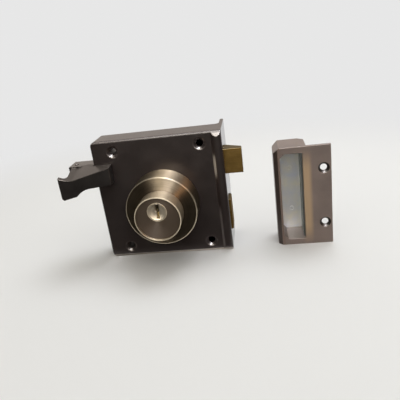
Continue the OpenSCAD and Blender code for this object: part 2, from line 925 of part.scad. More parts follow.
// Brass latch with its bevel on the door side
module latch_bolt() {
    color([0.72, 0.6, 0.3])
    difference() {
        translate([0, 0, latch_z - latch_h / 2])
            linear_extrude(latch_h)
                polygon([
                    [latch_x0, bolt_front_y], [latch_tip_x, bolt_front_y],
                    [latch_tip_x, bolt_front_y + latch_tip_t], [forend_x + 1, bolt_back_y],
                    [latch_x0, bolt_back_y]
                ]);
        block(
            [latch_x0 - cut, mid_y - bar_t / 2 - fit_gap, latch_z - latch_h],
            [latch_x0 + bar_seat + fit_gap, mid_y + bar_t / 2 + fit_gap, latch_z + latch_h]
        );
        latch_rivet_spots()
            rod_y(rivet_r + fit_gap, bolt_front_y - cut, bolt_back_y + cut);
        translate([latch_x0 - cut, rod_y, rod_z])
            rotate([0, 90, 0])
                cylinder(r = rod_r + fit_gap, h = rod_seat + cut);
    }
}

// Steel bar that joins the latch to the handle
module draw_bar() {
    color([0.62, 0.63, 0.65])
    difference() {
        block(
            [bar_x0, mid_y - bar_t / 2, bar_top_z - bar_h],
            [latch_x0 + bar_seat, mid_y + bar_t / 2, bar_top_z]
        );
        latch_rivet_spots()
            rod_y(rivet_r + fit_gap, mid_y - bar_t, mid_y + bar_t);
    }
}

// Rivets through the latch and the draw bar
module latch_rivets() {
    color([0.6, 0.6, 0.62])
    latch_rivet_spots()
        rod_y(rivet_r, bolt_front_y, bolt_back_y);
}

// Rod that guides the latch spring and slides through its bracket
module spring_rod() {
    color([0.64, 0.64, 0.66])
    translate([bracket_x0 - rod_past, rod_y, rod_z])
        rotate([0, 90, 0])
            cylinder(r = rod_r, h = latch_x0 + rod_seat - bracket_x0 + rod_past);
}

// Bracket on the back plate that the latch spring bears on
module spring_bracket() {
    color([0.62, 0.63, 0.65])
    difference() {
        union() {
            block(
                [bracket_x0, rod_y - spring_r, rod_z - bracket_h / 2],
                [bracket_x0 + bracket_t, back_y, rod_z + bracket_h / 2]
            );
            for (s = [-1, 1])
                translate([bracket_x0 + bracket_t / 2, 0, rod_z + s * bracket_h / 3])
                    rod_y(tenon_r, back_y - cut, 0);
        }
        translate([bracket_x0 - cut, rod_y, rod_z])
            rotate([0, 90, 0])
                cylinder(r = rod_r + fit_gap, h = bracket_t + 2 * cut);
    }
}

// Compression spring that throws the latch
module latch_spring() {
    color([0.7, 0.7, 0.72])
    translate([bracket_x0 + bracket_t + spring_end_gap, rod_y, rod_z])
        coil(spring_r, spring_wire_r, spring_len, spring_turns);
}

// Plan of the handle: the flange, the grip beside the case and the tongue over its front
module handle_plan() {
    neck_x = grip_x0 + flange_w;
    flange_y = grip_front_y + flange_t;
    flange_fillet = min(3, flange_w / 2);
    difference() {
        polygon(concat(
            [
                [grip_x0, grip_front_y], [tongue_x1, grip_front_y], [tongue_x1 - 0.6, tongue_back_y],
                [side_x - slide_gap, tongue_back_y], [side_x - slide_gap, stem_front_y + cut],
                [neck_x, stem_front_y + cut], [neck_x, flange_y + flange_fillet]
            ],
            [[neck_x - flange_fillet, flange_y], [grip_x0, flange_y]]
        ));
        translate([neck_x - flange_fillet, flange_y + flange_fillet])
            circle(flange_fillet);
    }
}

// Front view of the handle, open upwards
module handle_front() {
    hollow_x0 = grip_x0 + hollow_in;
    round_in = 1.4;
    toe_rise = 2.2;
    tongue_sag = 1.6;
    steps = 10;
    low = latch_z - grip_drop;
    high = latch_z + tongue_top;
    polygon(concat(
        [[grip_x0, high], [grip_x0, low + round_in], [grip_x0 + round_in, low]],
        arc(
            [hollow_x0, low + toe_rise], [hollow_x0 + hollow_w, latch_z - tongue_drop - tongue_sag],
            hollow_r, steps
        ),
        [[tongue_x1, latch_z - tongue_drop], [tongue_x1, high]]
    ));
}

// Upper edge of the handle in its front plane, set square to the sloped upper face
module handle_top() {
    dip_x = grip_x0 + grip_dip_x;
    rise = grip_top - grip_dip;
    dip_r = (grip_dip_x * grip_dip_x + rise * rise) / (2 * rise);
    steps = 8;
    deep = 40;
    flat = cos(grip_tilt);
    polygon(concat(
        [[grip_x0 - cut, -deep], [tongue_x1 + cut, -deep], [tongue_x1 + cut, tongue_top * flat]],
        [for (i = [0 : steps])
            let (x = dip_x - (grip_dip_x + cut) * i / steps, d = dip_x - x)
                [x, (grip_dip + dip_r - sqrt(dip_r * dip_r - d * d)) * flat]]
    ));
}

// Cast handle: grip, tongue and the stem that slides in the case
module pull_handle() {
    reach_y = handle_stand + case_d;
    color([0.16, 0.12, 0.11])
    difference() {
        union() {
            intersection() {
                translate([0, 0, latch_z - grip_drop - cut])
                    linear_extrude(grip_drop + tongue_top + cut)
                        handle_plan();
                along_y(grip_front_y - cut, 0)
                    handle_front();
                translate([0, grip_front_y, latch_z])
                    rotate([grip_tilt, 0, 0])
                        along_y(-reach_y, reach_y)
                            handle_top();
            }
            block(
                [stem_x0, stem_front_y, latch_z - stem_h / 2],
                [stem_x1, bolt_back_y, stem_top_z]
            );
        }
        block(
            [bar_x0 - fit_gap, mid_y - bar_t / 2 - fit_gap, bar_top_z - bar_h - fit_gap],
            [stem_x1 + cut, mid_y + bar_t / 2 + fit_gap, bar_top_z + fit_gap]
        );
        translate([set_screw_x, mid_y, bar_top_z - cut])
            cylinder(r = set_screw_r + fit_gap, h = stem_h);
    }
}

// Set screw that clamps the stem on the draw bar
module handle_set_screw() {
    drive_w = 0.6;
    drive_deep = 1;
    top_z = stem_top_z - set_screw_sunk;
    color([0.3, 0.29, 0.29])
    translate([set_screw_x, mid_y, 0])
        difference() {
            translate([0, 0, bar_top_z])
                cylinder(r = set_screw_r, h = top_z - bar_top_z);
            block(
                [-set_screw_r, -drive_w / 2, top_z - drive_deep],
                [set_screw_r, drive_w / 2, stem_top_z]
            );
        }
}

module keep_place() {
    translate([keep_x, keep_y, keep_z])
        children();
}

module keep_screw_spots() {
    for (s = [-1, 1])
        translate([keep_screw_x, 0, s * keep_span / 2])
            children();
}

module keep_rivet_spots() {
    for (s = [-1, 1])
        translate([window_in + window_w / 2, 0, s * window_h / 4])
            children();
}

// Window of the keep, bevelled on the room side
module keep_window(inset) {
    x0 = window_in + inset;
    x1 = window_in + window_w - inset;
    z1 = window_h / 2 - inset;
    polygon([
        [x0 + window_chamfer, -z1], [x1, -z1], [x1, z1], [x0 + window_chamfer, z1],
        [x0, z1 - window_chamfer], [x0, window_chamfer - z1]
    ]);
}

// Cast keep: a box for the bolts with a flange for the frame
module keep_box() {
    rear = 4;
    small = 1.5;
    color([0.3, 0.22, 0.19])
    keep_place()
        difference() {
            intersection() {
                translate([0, 0, -keep_h / 2])
                    linear_extrude(keep_h)
                        polygon([
                            [0, keep_bevel], [keep_bevel, 0], [keep_w - keep_edge, 0], [keep_w, keep_edge],
                            [keep_w, keep_flange_t], [keep_box_w, keep_flange_t],
                            [keep_box_w, keep_d - rear], [keep_box_w - rear, keep_d],
                            [small, keep_d], [0, keep_d - small]
                        ]);
                along_y(-cut, keep_d + cut)
                    polygon([
                        [0, -keep_h / 2], [keep_w, -keep_h / 2], [keep_w, keep_h / 2],
                        [keep_corner, keep_h / 2], [0, keep_h / 2 - keep_corner]
                    ]);
            }
            along_y(-cut, keep_d - keep_floor_t)
                keep_window(0);
            keep_screw_spots()
                sunk_bore(keep_bore_r, keep_sink_r, 0, keep_flange_t + cut);
            keep_rivet_spots()
                rod_y(rivet_r + fit_gap, keep_d - keep_floor_t - cut, keep_d + cut);
            for (s = [-1, 1])
                translate([-cut, keep_d / 2, s * (keep_h / 2 - keep_end / 2) - (s > 0 ? keep_corner : 0)])
                    rotate([0, 90, 0])
                        cylinder(r = side_hole_r, h = window_in - side_hole_left + cut);
        }
}

// Zinc plated steel liner on the floor and the far wall of the keep
module keep_liner() {
    edge_in = 1;
    floor_y = keep_liner_y + liner_t;
    color([0.66, 0.7, 0.74])
    keep_place()
        difference() {
            union() {
                along_y(keep_liner_y, floor_y)
                    keep_window(fit_gap);
                block(
                    [window_in + window_w - fit_gap - liner_t, keep_flange_t + edge_in, fit_gap - window_h / 2],
                    [window_in + window_w - fit_gap, floor_y - liner_t / 2, window_h / 2 - fit_gap]
                );
            }
            keep_rivet_spots()
                rod_y(rivet_r + fit_gap, keep_liner_y - cut, keep_d);
        }
}

// Rivets that hold the liner
module keep_rivets() {
    head_over = 1;
    head_y = keep_liner_y - keep_rivet_head_t;
    color([0.6, 0.62, 0.64])
    keep_place()
        keep_rivet_spots() {
            rod_y(rivet_r, head_y, keep_d);
            rod_y(rivet_r + head_over, head_y, keep_liner_y);
        }
}

lock_case();
back_plate();
back_plate_screws();
cylinder_collar();
cylinder_body();
cylinder_nut();
driver_pins();
pin_springs();
pin_plugs();
cylinder_plug();
key_pins();
plug_clip();
drive_tail();
drive_pinion();
pinion_bush();
deadbolt();
rack_plate();
deadbolt_rivets();
rack_post();
leaf_spring();
leaf_post();
latch_bolt();
draw_bar();
latch_rivets();
spring_rod();
spring_bracket();
latch_spring();
pull_handle();
handle_set_screw();
keep_box();
keep_liner();
keep_rivets();
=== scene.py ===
import json
import math

import bmesh
import bpy
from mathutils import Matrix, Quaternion, Vector


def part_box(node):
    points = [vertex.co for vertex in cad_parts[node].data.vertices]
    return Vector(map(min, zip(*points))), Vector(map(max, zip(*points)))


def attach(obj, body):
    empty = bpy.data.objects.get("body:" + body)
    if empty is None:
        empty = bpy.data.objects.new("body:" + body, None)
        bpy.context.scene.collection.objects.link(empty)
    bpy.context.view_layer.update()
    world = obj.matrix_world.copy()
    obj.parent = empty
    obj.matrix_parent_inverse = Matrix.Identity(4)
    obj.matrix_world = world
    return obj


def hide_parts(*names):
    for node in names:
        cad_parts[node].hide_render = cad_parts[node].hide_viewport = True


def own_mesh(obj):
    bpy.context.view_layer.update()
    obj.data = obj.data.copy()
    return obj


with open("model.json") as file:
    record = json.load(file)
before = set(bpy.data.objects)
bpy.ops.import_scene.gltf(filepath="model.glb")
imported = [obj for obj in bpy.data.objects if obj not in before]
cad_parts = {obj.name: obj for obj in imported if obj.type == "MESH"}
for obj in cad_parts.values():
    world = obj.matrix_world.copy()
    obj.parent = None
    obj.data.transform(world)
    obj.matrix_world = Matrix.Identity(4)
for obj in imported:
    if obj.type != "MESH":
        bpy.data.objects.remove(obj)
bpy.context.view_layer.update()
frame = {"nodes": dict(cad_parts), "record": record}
nodes = frame["nodes"]
scene = bpy.context.scene

# The studio: a camera that looks down on the lock from its bolt side, and a sheet of white paper on
# which the lock and its keep stand. Metal mirrors a dim room in front and a pale warm wall behind.
MM = 0.001
camera_from = Vector((71.95, -322.0, 113.3)) * MM
camera_to = Vector((26.57, -21.0, -4.24)) * MM
camera_roll = math.radians(-7.77)
camera_lens = 40.5
camera_data = bpy.data.cameras.new("camera")
camera_data.lens = camera_lens
camera_data.sensor_width = 36.0
camera_data.clip_start = 0.01
camera = bpy.data.objects.new("camera", camera_data)
camera.location = camera_from
camera.rotation_mode = "QUATERNION"
camera_aim = (camera_to - camera_from).to_track_quat("-Z", "Y")
camera.rotation_quaternion = camera_aim @ Quaternion((0, 0, 1), camera_roll)
scene.collection.objects.link(camera)
scene.camera = camera
scene.view_settings.view_transform = "Standard"


def add_node(tree, kind, inputs=None, **settings):
    made = tree.nodes.new(kind)
    for key, value in settings.items():
        setattr(made, key, value)
    for key, value in (inputs or {}).items():
        if isinstance(value, bpy.types.NodeSocket):
            tree.links.new(value, made.inputs[key])
        else:
            made.inputs[key].default_value = value
    return made


def ramp(tree, value, start, end, low=0.0, high=1.0, soft=False):
    bounds = {0: value, 1: start, 2: end, 3: low, 4: high}
    kind = "SMOOTHSTEP" if soft else "LINEAR"
    return add_node(tree, "ShaderNodeMapRange", bounds, interpolation_type=kind).outputs[0]


def maths(tree, operation, first, second=0.0):
    return add_node(tree, "ShaderNodeMath", {0: first, 1: second}, operation=operation).outputs[0]


def blend_colour(tree, share, first, second):
    return add_node(tree, "ShaderNodeMix", {0: share, 6: first, 7: second}, data_type="RGBA").outputs[2]


def ray_kinds(tree):
    rays = add_node(tree, "ShaderNodeLightPath").outputs
    mirrored = maths(tree, "MAXIMUM", rays["Is Glossy Ray"], rays["Is Transmission Ray"])
    shown = maths(tree, "MAXIMUM", rays["Is Camera Ray"], mirrored)
    return mirrored, shown


paper_white = (0.80, 0.80, 0.80, 1.0)
room_grey = (0.035, 0.031, 0.029, 1.0)
fill_light = (0.565, 0.54, 0.485, 1.0)
warm_wall = (0.84, 0.75, 0.68, 1.0)
wall_from = 0.3
wall_full = 0.65
world = bpy.data.worlds.new("studio")
world.use_nodes = True
scene.world = world
world.node_tree.nodes.clear()
sky = world.node_tree
mirrored, shown = ray_kinds(sky)
way = add_node(sky, "ShaderNodeTexCoord").outputs["Generated"]
way_y = add_node(sky, "ShaderNodeSeparateXYZ", {0: way}).outputs["Y"]
behind = ramp(sky, way_y, wall_from, wall_full, soft=True)
seen = blend_colour(sky, mirrored, paper_white, blend_colour(sky, behind, room_grey, warm_wall))
sky_colour = blend_colour(sky, shown, fill_light, seen)
backdrop = add_node(sky, "ShaderNodeBackground", {"Color": sky_colour, "Strength": 1.0})
add_node(sky, "ShaderNodeOutputWorld", {"Surface": backdrop.outputs[0]})

# Far from the lock the paper shows its plain colour, without light or shadow. In reflections it is as
# dark as the room in front of the lock, and plain again behind it.
floor_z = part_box("lock_case")[0].z
sweep_r = 2.5
sweep_steps = 96
paper_in = 0.20
paper_out = 0.48
front_from = -0.0215
front_full = -0.032
back_from = 0.0
back_full = 0.03
floor_mesh = bpy.data.meshes.new("paper_sweep")
work = bmesh.new()
bmesh.ops.create_circle(work, cap_ends=True, segments=sweep_steps, radius=sweep_r)
bmesh.ops.translate(work, verts=work.verts, vec=(0, 0, floor_z))
work.to_mesh(floor_mesh)
work.free()
floor = bpy.data.objects.new("paper_sweep", floor_mesh)
scene.collection.objects.link(floor)
paper = bpy.data.materials.new("white_paper")
paper.use_nodes = True
tree = paper.node_tree
tree.nodes.clear()
mirrored, shown = ray_kinds(tree)
place = add_node(tree, "ShaderNodeTexCoord").outputs["Object"]
from_lock = add_node(tree, "ShaderNodeVectorMath", {0: place}, operation="LENGTH").outputs["Value"]
far = ramp(tree, from_lock, paper_in, paper_out, soft=True)
place_y = add_node(tree, "ShaderNodeSeparateXYZ", {0: place}).outputs["Y"]
in_front = maths(tree, "MULTIPLY", ramp(tree, place_y, front_from, front_full, soft=True), mirrored)
at_back = maths(tree, "MULTIPLY", ramp(tree, place_y, back_from, back_full, soft=True), mirrored)
far_colour = blend_colour(tree, in_front, paper_white, room_grey)
lit = add_node(tree, "ShaderNodeBsdfDiffuse", {"Color": paper_white})
plain = add_node(tree, "ShaderNodeEmission", {"Color": far_colour, "Strength": 1.0})
around = maths(tree, "MAXIMUM", in_front, at_back)
share = maths(tree, "MAXIMUM", maths(tree, "MULTIPLY", far, shown), around)
sheet = add_node(tree, "ShaderNodeMixShader", {0: share, 1: lit.outputs[0], 2: plain.outputs[0]})
add_node(tree, "ShaderNodeOutputMaterial", {"Surface": sheet.outputs[0]})
floor_mesh.materials.append(paper)

# Two soft lamps add to the even light of the room. The four cards show only in reflections, as rays
# on the metal.
daylight = (0.93, 0.96, 1.0)
cream = (1.0, 0.97, 0.88)
bluish = (0.92, 0.93, 1.0)
peach = (1.0, 0.93, 0.85)
amber = (1.0, 0.42, 0.10)
lamps = {
    "soft_lamp": {"at": (0.42, -0.42, 0.80), "size": (0.8, 0.8), "power": 1.3, "colour": daylight},
    "rear_lamp": {"at": (0.20, 0.25, 0.85), "size": (0.5, 0.5), "power": 4.4, "colour": daylight},
    "broad_card": {"at": (-0.05, -0.47, 0.68), "size": (0.36, 0.7), "power": 11.0, "colour": cream},
    "bright_card": {"at": (0.21, -0.38, 0.71), "size": (0.10, 0.6), "power": 22.0, "colour": bluish},
    "wide_card": {"at": (0.16, -0.86, 0.42), "size": (1.25, 0.4), "power": 9.5, "colour": peach},
    "warm_card": {"at": (0.52, -0.55, 0.33), "size": (0.1, 0.1), "power": 2.0, "colour": amber},
}
for name, lamp in lamps.items():
    data = bpy.data.lights.new(name, "AREA")
    data.shape = "RECTANGLE"
    data.size, data.size_y = lamp["size"]
    data.energy = lamp["power"]
    data.color = lamp["colour"]
    light = bpy.data.objects.new(name, data)
    light.location = lamp["at"]
    light.rotation_mode = "QUATERNION"
    light.rotation_quaternion = (camera_to - light.location).to_track_quat("-Z", "Y")
    light.visible_diffuse = name.endswith("lamp")
    light.visible_glossy = name.endswith("card")
    scene.collection.objects.link(light)


# The case: one zinc casting with the front, the sides, the forend, its lip and its bead. It is sprayed
# with a dark bronze brown lacquer of half gloss, which is smoother on the forend, with painted
# highlights on the bead and along the lower front edge.
def new_finish(name):
    finish = bpy.data.materials.new(name)
    finish.use_nodes = True
    tree = finish.node_tree
    shader = tree.nodes["Principled BSDF"]
    place = add_node(tree, "ShaderNodeTexCoord").outputs["Object"]
    return finish, tree, shader, place


# Noise mostly lies between 0.3 and 0.7, so the ramps that follow it start and end near there
def grain(tree, place, size, detail):
    spread = [1.0 / step for step in size]
    spot = add_node(tree, "ShaderNodeMapping", {"Vector": place, "Scale": spread}).outputs[0]
    inputs = {"Vector": spot, "Scale": 1.0, "Detail": detail}
    return add_node(tree, "ShaderNodeTexNoise", inputs).outputs["Fac"]


def even(size):
    return (size, size, size)


def set_inputs(tree, shader, values):
    for key, value in values.items():
        if isinstance(value, bpy.types.NodeSocket):
            tree.links.new(value, shader.inputs[key])
        else:
            shader.inputs[key].default_value = value


def bump(tree, height, depth):
    inputs = {"Height": height, "Distance": depth, "Strength": 1.0}
    return add_node(tree, "ShaderNodeBump", inputs).outputs[0]


def edge_wear(tree, place, patch, least, most):
    rounded = add_node(tree, "ShaderNodeAttribute", attribute_name="rounded").outputs["Fac"]
    rubbed = ramp(tree, grain(tree, place, even(patch), 3.0), least, most)
    return maths(tree, "MULTIPLY", rounded, rubbed)


def soft_box(tree, place, low, high, soft):
    spot = add_node(tree, "ShaderNodeSeparateXYZ", {0: place}).outputs
    share = 1.0
    for k in range(3):
        start = ramp(tree, spot[k], (low[k] - soft[k]) * MM, low[k] * MM, soft=True)
        end = ramp(tree, spot[k], (high[k] + soft[k]) * MM, high[k] * MM, soft=True)
        share = maths(tree, "MULTIPLY", share, maths(tree, "MULTIPLY", start, end))
    return share


def facing_up(tree):
    sloping = 0.6
    level = 0.9
    facing = add_node(tree, "ShaderNodeNewGeometry").outputs["Normal"]
    upward = add_node(tree, "ShaderNodeSeparateXYZ", {0: facing}).outputs["Z"]
    return ramp(tree, upward, sloping, level)


def lacquer(
        name, dark, light, worn, roughness, specular, gloss, tints=(), painted_lit_top=None, sheens=()):
    cloud_size = 16 * MM
    speck_size = 0.9 * MM
    peel_size = 1.3 * MM
    peel_depth = 0.02 * MM
    wear_size = 5 * MM
    rough_spread = 0.05
    finish, tree, shader, place = new_finish(name)
    cloud = grain(tree, place, even(cloud_size), 3.0)
    speck = grain(tree, place, even(speck_size), 1.0)
    peel = grain(tree, place, even(peel_size), 2.0)
    coat = blend_colour(tree, ramp(tree, cloud, 0.3, 0.7), dark, light)
    # If given, upward faces take this lighter colour, a painted highlight where light falls on the top.
    if painted_lit_top:
        coat = blend_colour(tree, facing_up(tree), coat, painted_lit_top)
    coat = blend_colour(tree, edge_wear(tree, place, wear_size, 0.2, 0.8), coat, worn)
    for low, high, soft, colour in tints:
        coat = blend_colour(tree, soft_box(tree, place, low, high, soft), coat, colour)
    mottle = maths(tree, "ADD", cloud, speck)
    rough = ramp(tree, mottle, 0.6, 1.4, roughness - rough_spread, roughness + rough_spread)
    for low, high, soft, times in sheens:
        zone = soft_box(tree, place, low, high, soft)
        rough = maths(tree, "MULTIPLY", rough, ramp(tree, zone, 0.0, 1.0, 1.0, times))
    set_inputs(tree, shader, {
        "Base Color": coat,
        "Roughness": rough,
        "Normal": bump(tree, peel, peel_depth),
        "Specular IOR Level": specular,
        "Specular Tint": (1.0, 0.93, 0.88, 1.0),
        "Coat Weight": gloss,
        "Coat Roughness": 0.12,
    })
    return finish


def flatten(work):
    flat_angle = math.radians(0.2)
    bmesh.ops.dissolve_limit(work, angle_limit=flat_angle, verts=work.verts, edges=work.edges)


def apply_modifiers(piece):
    graph = bpy.context.evaluated_depsgraph_get()
    mesh = bpy.data.meshes.new_from_object(piece.evaluated_get(graph), depsgraph=graph)
    mesh.name = piece.name
    piece.modifiers.clear()
    piece.data = mesh


def new_piece(name, mesh):
    piece = bpy.data.objects.new(name, mesh)
    scene.collection.objects.link(piece)
    return piece


def join_flat_faces(piece):
    work = bmesh.new()
    work.from_mesh(piece.data)
    flatten(work)
    work.to_mesh(piece.data)
    work.free()


def smooth_normals(piece):
    sharp_angle = math.radians(60.0)
    piece.data.shade_smooth()
    piece.data.set_sharp_from_angle(angle=sharp_angle)
    weighted = piece.modifiers.new("flat faces stay flat", "WEIGHTED_NORMAL")
    weighted.keep_sharp = True
    weighted.weight = 90
    apply_modifiers(piece)


same_spot = 0.001 * MM


# A copy of a solid with its sharp edges rounded, apart from those that meet too many others
def rounded_copy(name, node, radius, finish, steps=2, most_met=9):
    sharp_angle = math.radians(30.0)
    mesh = bpy.data.meshes.new(name)
    work = bmesh.new()
    work.from_mesh(nodes[node].data)
    bmesh.ops.remove_doubles(work, verts=work.verts, dist=same_spot)
    flatten(work)
    weight = work.edges.layers.float.new("bevel_weight_edge")
    for edge in work.edges:
        edge.tag = edge.calc_face_angle(0.0) > sharp_angle
    for edge in work.edges:
        met = max(sum(other.tag for other in vert.link_edges) for vert in edge.verts)
        edge[weight] = float(edge.tag and met <= most_met)
    work.to_mesh(mesh)
    work.free()
    for old in ("custom_normal", "sharp_face", "sharp_edge"):
        if old in mesh.attributes:
            mesh.attributes.remove(mesh.attributes[old])
    mesh.materials.clear()
    mesh.materials.append(finish)
    mesh.materials.append(finish)
    mesh.polygons.foreach_set("material_index", [0] * len(mesh.polygons))
    piece = new_piece(name, mesh)
    bevel = piece.modifiers.new("rounding", "BEVEL")
    bevel.width = radius
    bevel.segments = steps
    bevel.limit_method = "WEIGHT"
    bevel.use_clamp_overlap = False
    bevel.material = 1
    apply_modifiers(piece)
    mark = piece.data.attributes.new("rounded", "FLOAT", "FACE")
    mark.data.foreach_set("value", [float(face.material_index) for face in piece.data.polygons])
    piece.data.polygons.foreach_set("material_index", [0] * len(piece.data.polygons))
    piece.data.materials.pop(index=1)
    smooth_normals(piece)
    return piece


def fit(piece, body, node):
    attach(piece, body)
    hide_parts(node)


# A zone is a box with soft edges: its low corner, its high corner and the width of its edges, in
# millimetres, and then its colour or how many times rougher it is.
# The bead and lower edge zones are painted highlights: lighter lacquer where lamps would glint on the bead
# and the lower front edge.
bead_painted_highlight = ((40.0, -24, 17), (41.0, -20.5, 24), (0.6, 1, 7), (0.42, 0.37, 0.32, 1))
bead_low_painted_highlight = ((40.0, -24, -38), (41.0, -20.5, -16), (0.6, 1, 8), (0.11, 0.092, 0.088, 1))
foot_painted_highlight = ((-46.5, -22, -46), (46.5, -19, -44.2), (0.5, 0.4, 0.4), (0.60, 0.54, 0.50, 1))
forend_face = ((46.85, -19.8, -45.5), (48, 18, 45.5), (0.1, 0.3, 0.3), 0.3)
top_edge = ((-46.8, -22, 44.3), (46.4, -19.6, 47), (0.2, 0.3, 0.3), 1.7)
case_brown = lacquer(
    "case_brown", (0.0175, 0.0102, 0.0095, 1), (0.0225, 0.0132, 0.012, 1), (0.046, 0.033, 0.029, 1),
    roughness=0.35, specular=0.58, gloss=0.18,
    tints=[bead_painted_highlight, bead_low_painted_highlight, foot_painted_highlight], sheens=[forend_face, top_edge])
case = rounded_copy("case_casting", "lock_case", 0.5 * MM, case_brown)
fit(case, "lock_body", "lock_case")
# The warm card is kept out of the case, where it would show as an orange streak from behind.
out_of_amber = bpy.data.collections.new("out_of_amber")
out_of_amber.objects.link(case)
for item in out_of_amber.collection_objects:
    item.light_linking.link_state = "EXCLUDE"
bpy.data.objects["warm_card"].light_linking.receiver_collection = out_of_amber


# The back plate: sheet steel, punched and zinc plated, that closes the case against the door.
# It carries the posts and the spring bracket, whose ends are riveted over.
def zinc(name, colour, tint, roughness, run, metallic=0.8, tints=()):
    bare_edge = (0.80, 0.80, 0.80, 1)
    cloud_size = 9 * MM
    wear_size = 3 * MM
    scratch = 0.01 * MM
    rough_spread = 0.08
    finish, tree, shader, place = new_finish(name)
    cloud = grain(tree, place, even(cloud_size), 4.0)
    drawn = grain(tree, place, run, 2.0)
    plated = blend_colour(tree, ramp(tree, cloud, 0.3, 0.7), colour, tint)
    plated = blend_colour(tree, edge_wear(tree, place, wear_size, 0.4, 0.8), plated, bare_edge)
    for low, high, soft, shade in tints:
        plated = blend_colour(tree, soft_box(tree, place, low, high, soft), plated, shade)
    mottle = maths(tree, "ADD", cloud, drawn)
    set_inputs(tree, shader, {
        "Base Color": plated,
        "Metallic": metallic,
        "Roughness": ramp(tree, mottle, 0.6, 1.4, roughness - rough_spread, roughness + rough_spread),
        "Normal": bump(tree, drawn, scratch),
    })
    return finish


plate_zinc = zinc(
    "plate_zinc", (0.50, 0.52, 0.53, 1), (0.60, 0.61, 0.58, 1),
    roughness=0.36, run=(0.12 * MM, 0.12 * MM, 14 * MM))
plate = rounded_copy("back_plate_zinc", "back_plate", 0.15 * MM, plate_zinc)
fit(plate, "lock_body", "back_plate")


# The back plate's screws: four countersunk steel screws with a plain slot, turned, zinc plated and
# driven into the bosses of the case.
def new_tree(name, inputs):
    tree = bpy.data.node_groups.new(name, "GeometryNodeTree")
    tree.interface.new_socket("Geometry", in_out="INPUT", socket_type="NodeSocketGeometry")
    for label, kind in inputs.items():
        tree.interface.new_socket(label, in_out="INPUT", socket_type="NodeSocket" + kind)
    tree.interface.new_socket("Geometry", in_out="OUTPUT", socket_type="NodeSocketGeometry")
    return tree, add_node(tree, "NodeGroupInput").outputs


def end_tree(tree, shape, finish):
    whole = add_node(tree, "GeometryNodeRealizeInstances", {"Geometry": shape})
    faced = add_node(tree, "GeometryNodeSetMaterial", {"Geometry": whole.outputs[0], "Material": finish})
    add_node(tree, "NodeGroupOutput", {"Geometry": faced.outputs[0]})


def run_tree(piece, tree, values):
    step = piece.modifiers.new(tree.name, "NODES")
    step.node_group = tree
    for socket in tree.interface.items_tree:
        if socket.in_out == "INPUT" and socket.name in values:
            step[socket.identifier] = values[socket.name]
    apply_modifiers(piece)


pole_gap = 0.0005 * MM
turned_tree, given = new_tree("turned", {
    "Guide radius": "Float", "Edge radius": "Float", "Edge steps": "Int", "Steps round": "Int",
    "Turn": "Vector", "Centre": "Vector", "Finish": "Material",
})
outline = add_node(turned_tree, "GeometryNodeMeshToCurve", {"Mesh": given["Geometry"]})
eased = add_node(turned_tree, "GeometryNodeFilletCurve", {
    "Curve": outline.outputs[0], "Count": given["Edge steps"], "Radius": given["Edge radius"],
    "Limit Radius": True,
}, mode="POLY")
guide = add_node(turned_tree, "GeometryNodeCurvePrimitiveCircle", {
    "Resolution": given["Steps round"], "Radius": given["Guide radius"],
})
upright = add_node(turned_tree, "GeometryNodeSetCurveNormal", {"Curve": guide.outputs["Curve"]}, mode="Z_UP")
swept = add_node(turned_tree, "GeometryNodeCurveToMesh", {
    "Curve": upright.outputs[0], "Profile Curve": eased.outputs[0],
})
closed = add_node(turned_tree, "GeometryNodeMergeByDistance", {
    "Geometry": swept.outputs[0], "Distance": pole_gap,
})
placed = add_node(turned_tree, "GeometryNodeTransform", {
    "Geometry": closed.outputs[0], "Rotation": given["Turn"], "Translation": given["Centre"],
})
end_tree(turned_tree, placed.outputs[0], given["Finish"])

FACING_ROOM = (-math.pi / 2, 0.0, 0.0)
STANDING = (math.pi, 0.0, 0.0)


def point_outwards(piece):
    work = bmesh.new()
    work.from_mesh(piece.data)
    bmesh.ops.recalc_face_normals(work, faces=work.faces)
    work.to_mesh(piece.data)
    work.free()


def turned(name, profile, centre, turn, edge, finish, steps=96, ring=False):
    guide_r = 1 * MM
    edge_steps = 3
    mesh = bpy.data.meshes.new(name)
    runs = [(i, i + 1) for i in range(len(profile) - 1)]
    if ring:
        runs.append((len(profile) - 1, 0))
    mesh.from_pydata([(r - guide_r, h, 0.0) for r, h in profile], runs, [])
    piece = new_piece(name, mesh)
    run_tree(piece, turned_tree, {
        "Guide radius": guide_r, "Edge radius": edge, "Edge steps": edge_steps, "Steps round": steps,
        "Turn": turn, "Centre": tuple(centre), "Finish": finish,
    })
    point_outwards(piece)
    smooth_normals(piece)
    return piece


set_tree, given = new_tree("set_in_places", {"Piece": "Object", "Finish": "Material"})
source = add_node(set_tree, "GeometryNodeObjectInfo", {"Object": given["Piece"]})
stretch = add_node(set_tree, "GeometryNodeInputNamedAttribute", {"Name": "stretch"}, data_type="FLOAT_VECTOR")
copies = add_node(set_tree, "GeometryNodeInstanceOnPoints", {
    "Points": given["Geometry"], "Instance": source.outputs["Geometry"],
    "Scale": stretch.outputs["Attribute"],
})
end_tree(set_tree, copies.outputs[0], given["Finish"])


def set_in_places(name, model, places, finish, stretches=None):
    mesh = bpy.data.meshes.new(name)
    mesh.from_pydata([tuple(spot) for spot in places], [], [])
    sizes = mesh.attributes.new("stretch", "FLOAT_VECTOR", "POINT")
    for item, size in zip(sizes.data, stretches or [(1, 1, 1)] * len(places)):
        item.vector = size
    piece = new_piece(name, mesh)
    run_tree(piece, set_tree, {"Piece": model, "Finish": finish})
    bpy.data.objects.remove(model)
    return piece


def solid_boxes(node):
    work = bmesh.new()
    work.from_mesh(nodes[node].data)
    bmesh.ops.remove_doubles(work, verts=work.verts, dist=same_spot)
    boxes = []
    for first in work.verts:
        if first.tag:
            continue
        first.tag = True
        solid = [first]
        for vert in solid:
            for edge in vert.link_edges:
                other = edge.other_vert(vert)
                if not other.tag:
                    other.tag = True
                    solid.append(other)
        low = Vector([min(vert.co[i] for vert in solid) for i in range(3)])
        high = Vector([max(vert.co[i] for vert in solid) for i in range(3)])
        boxes.append((low, high))
    work.free()
    return boxes


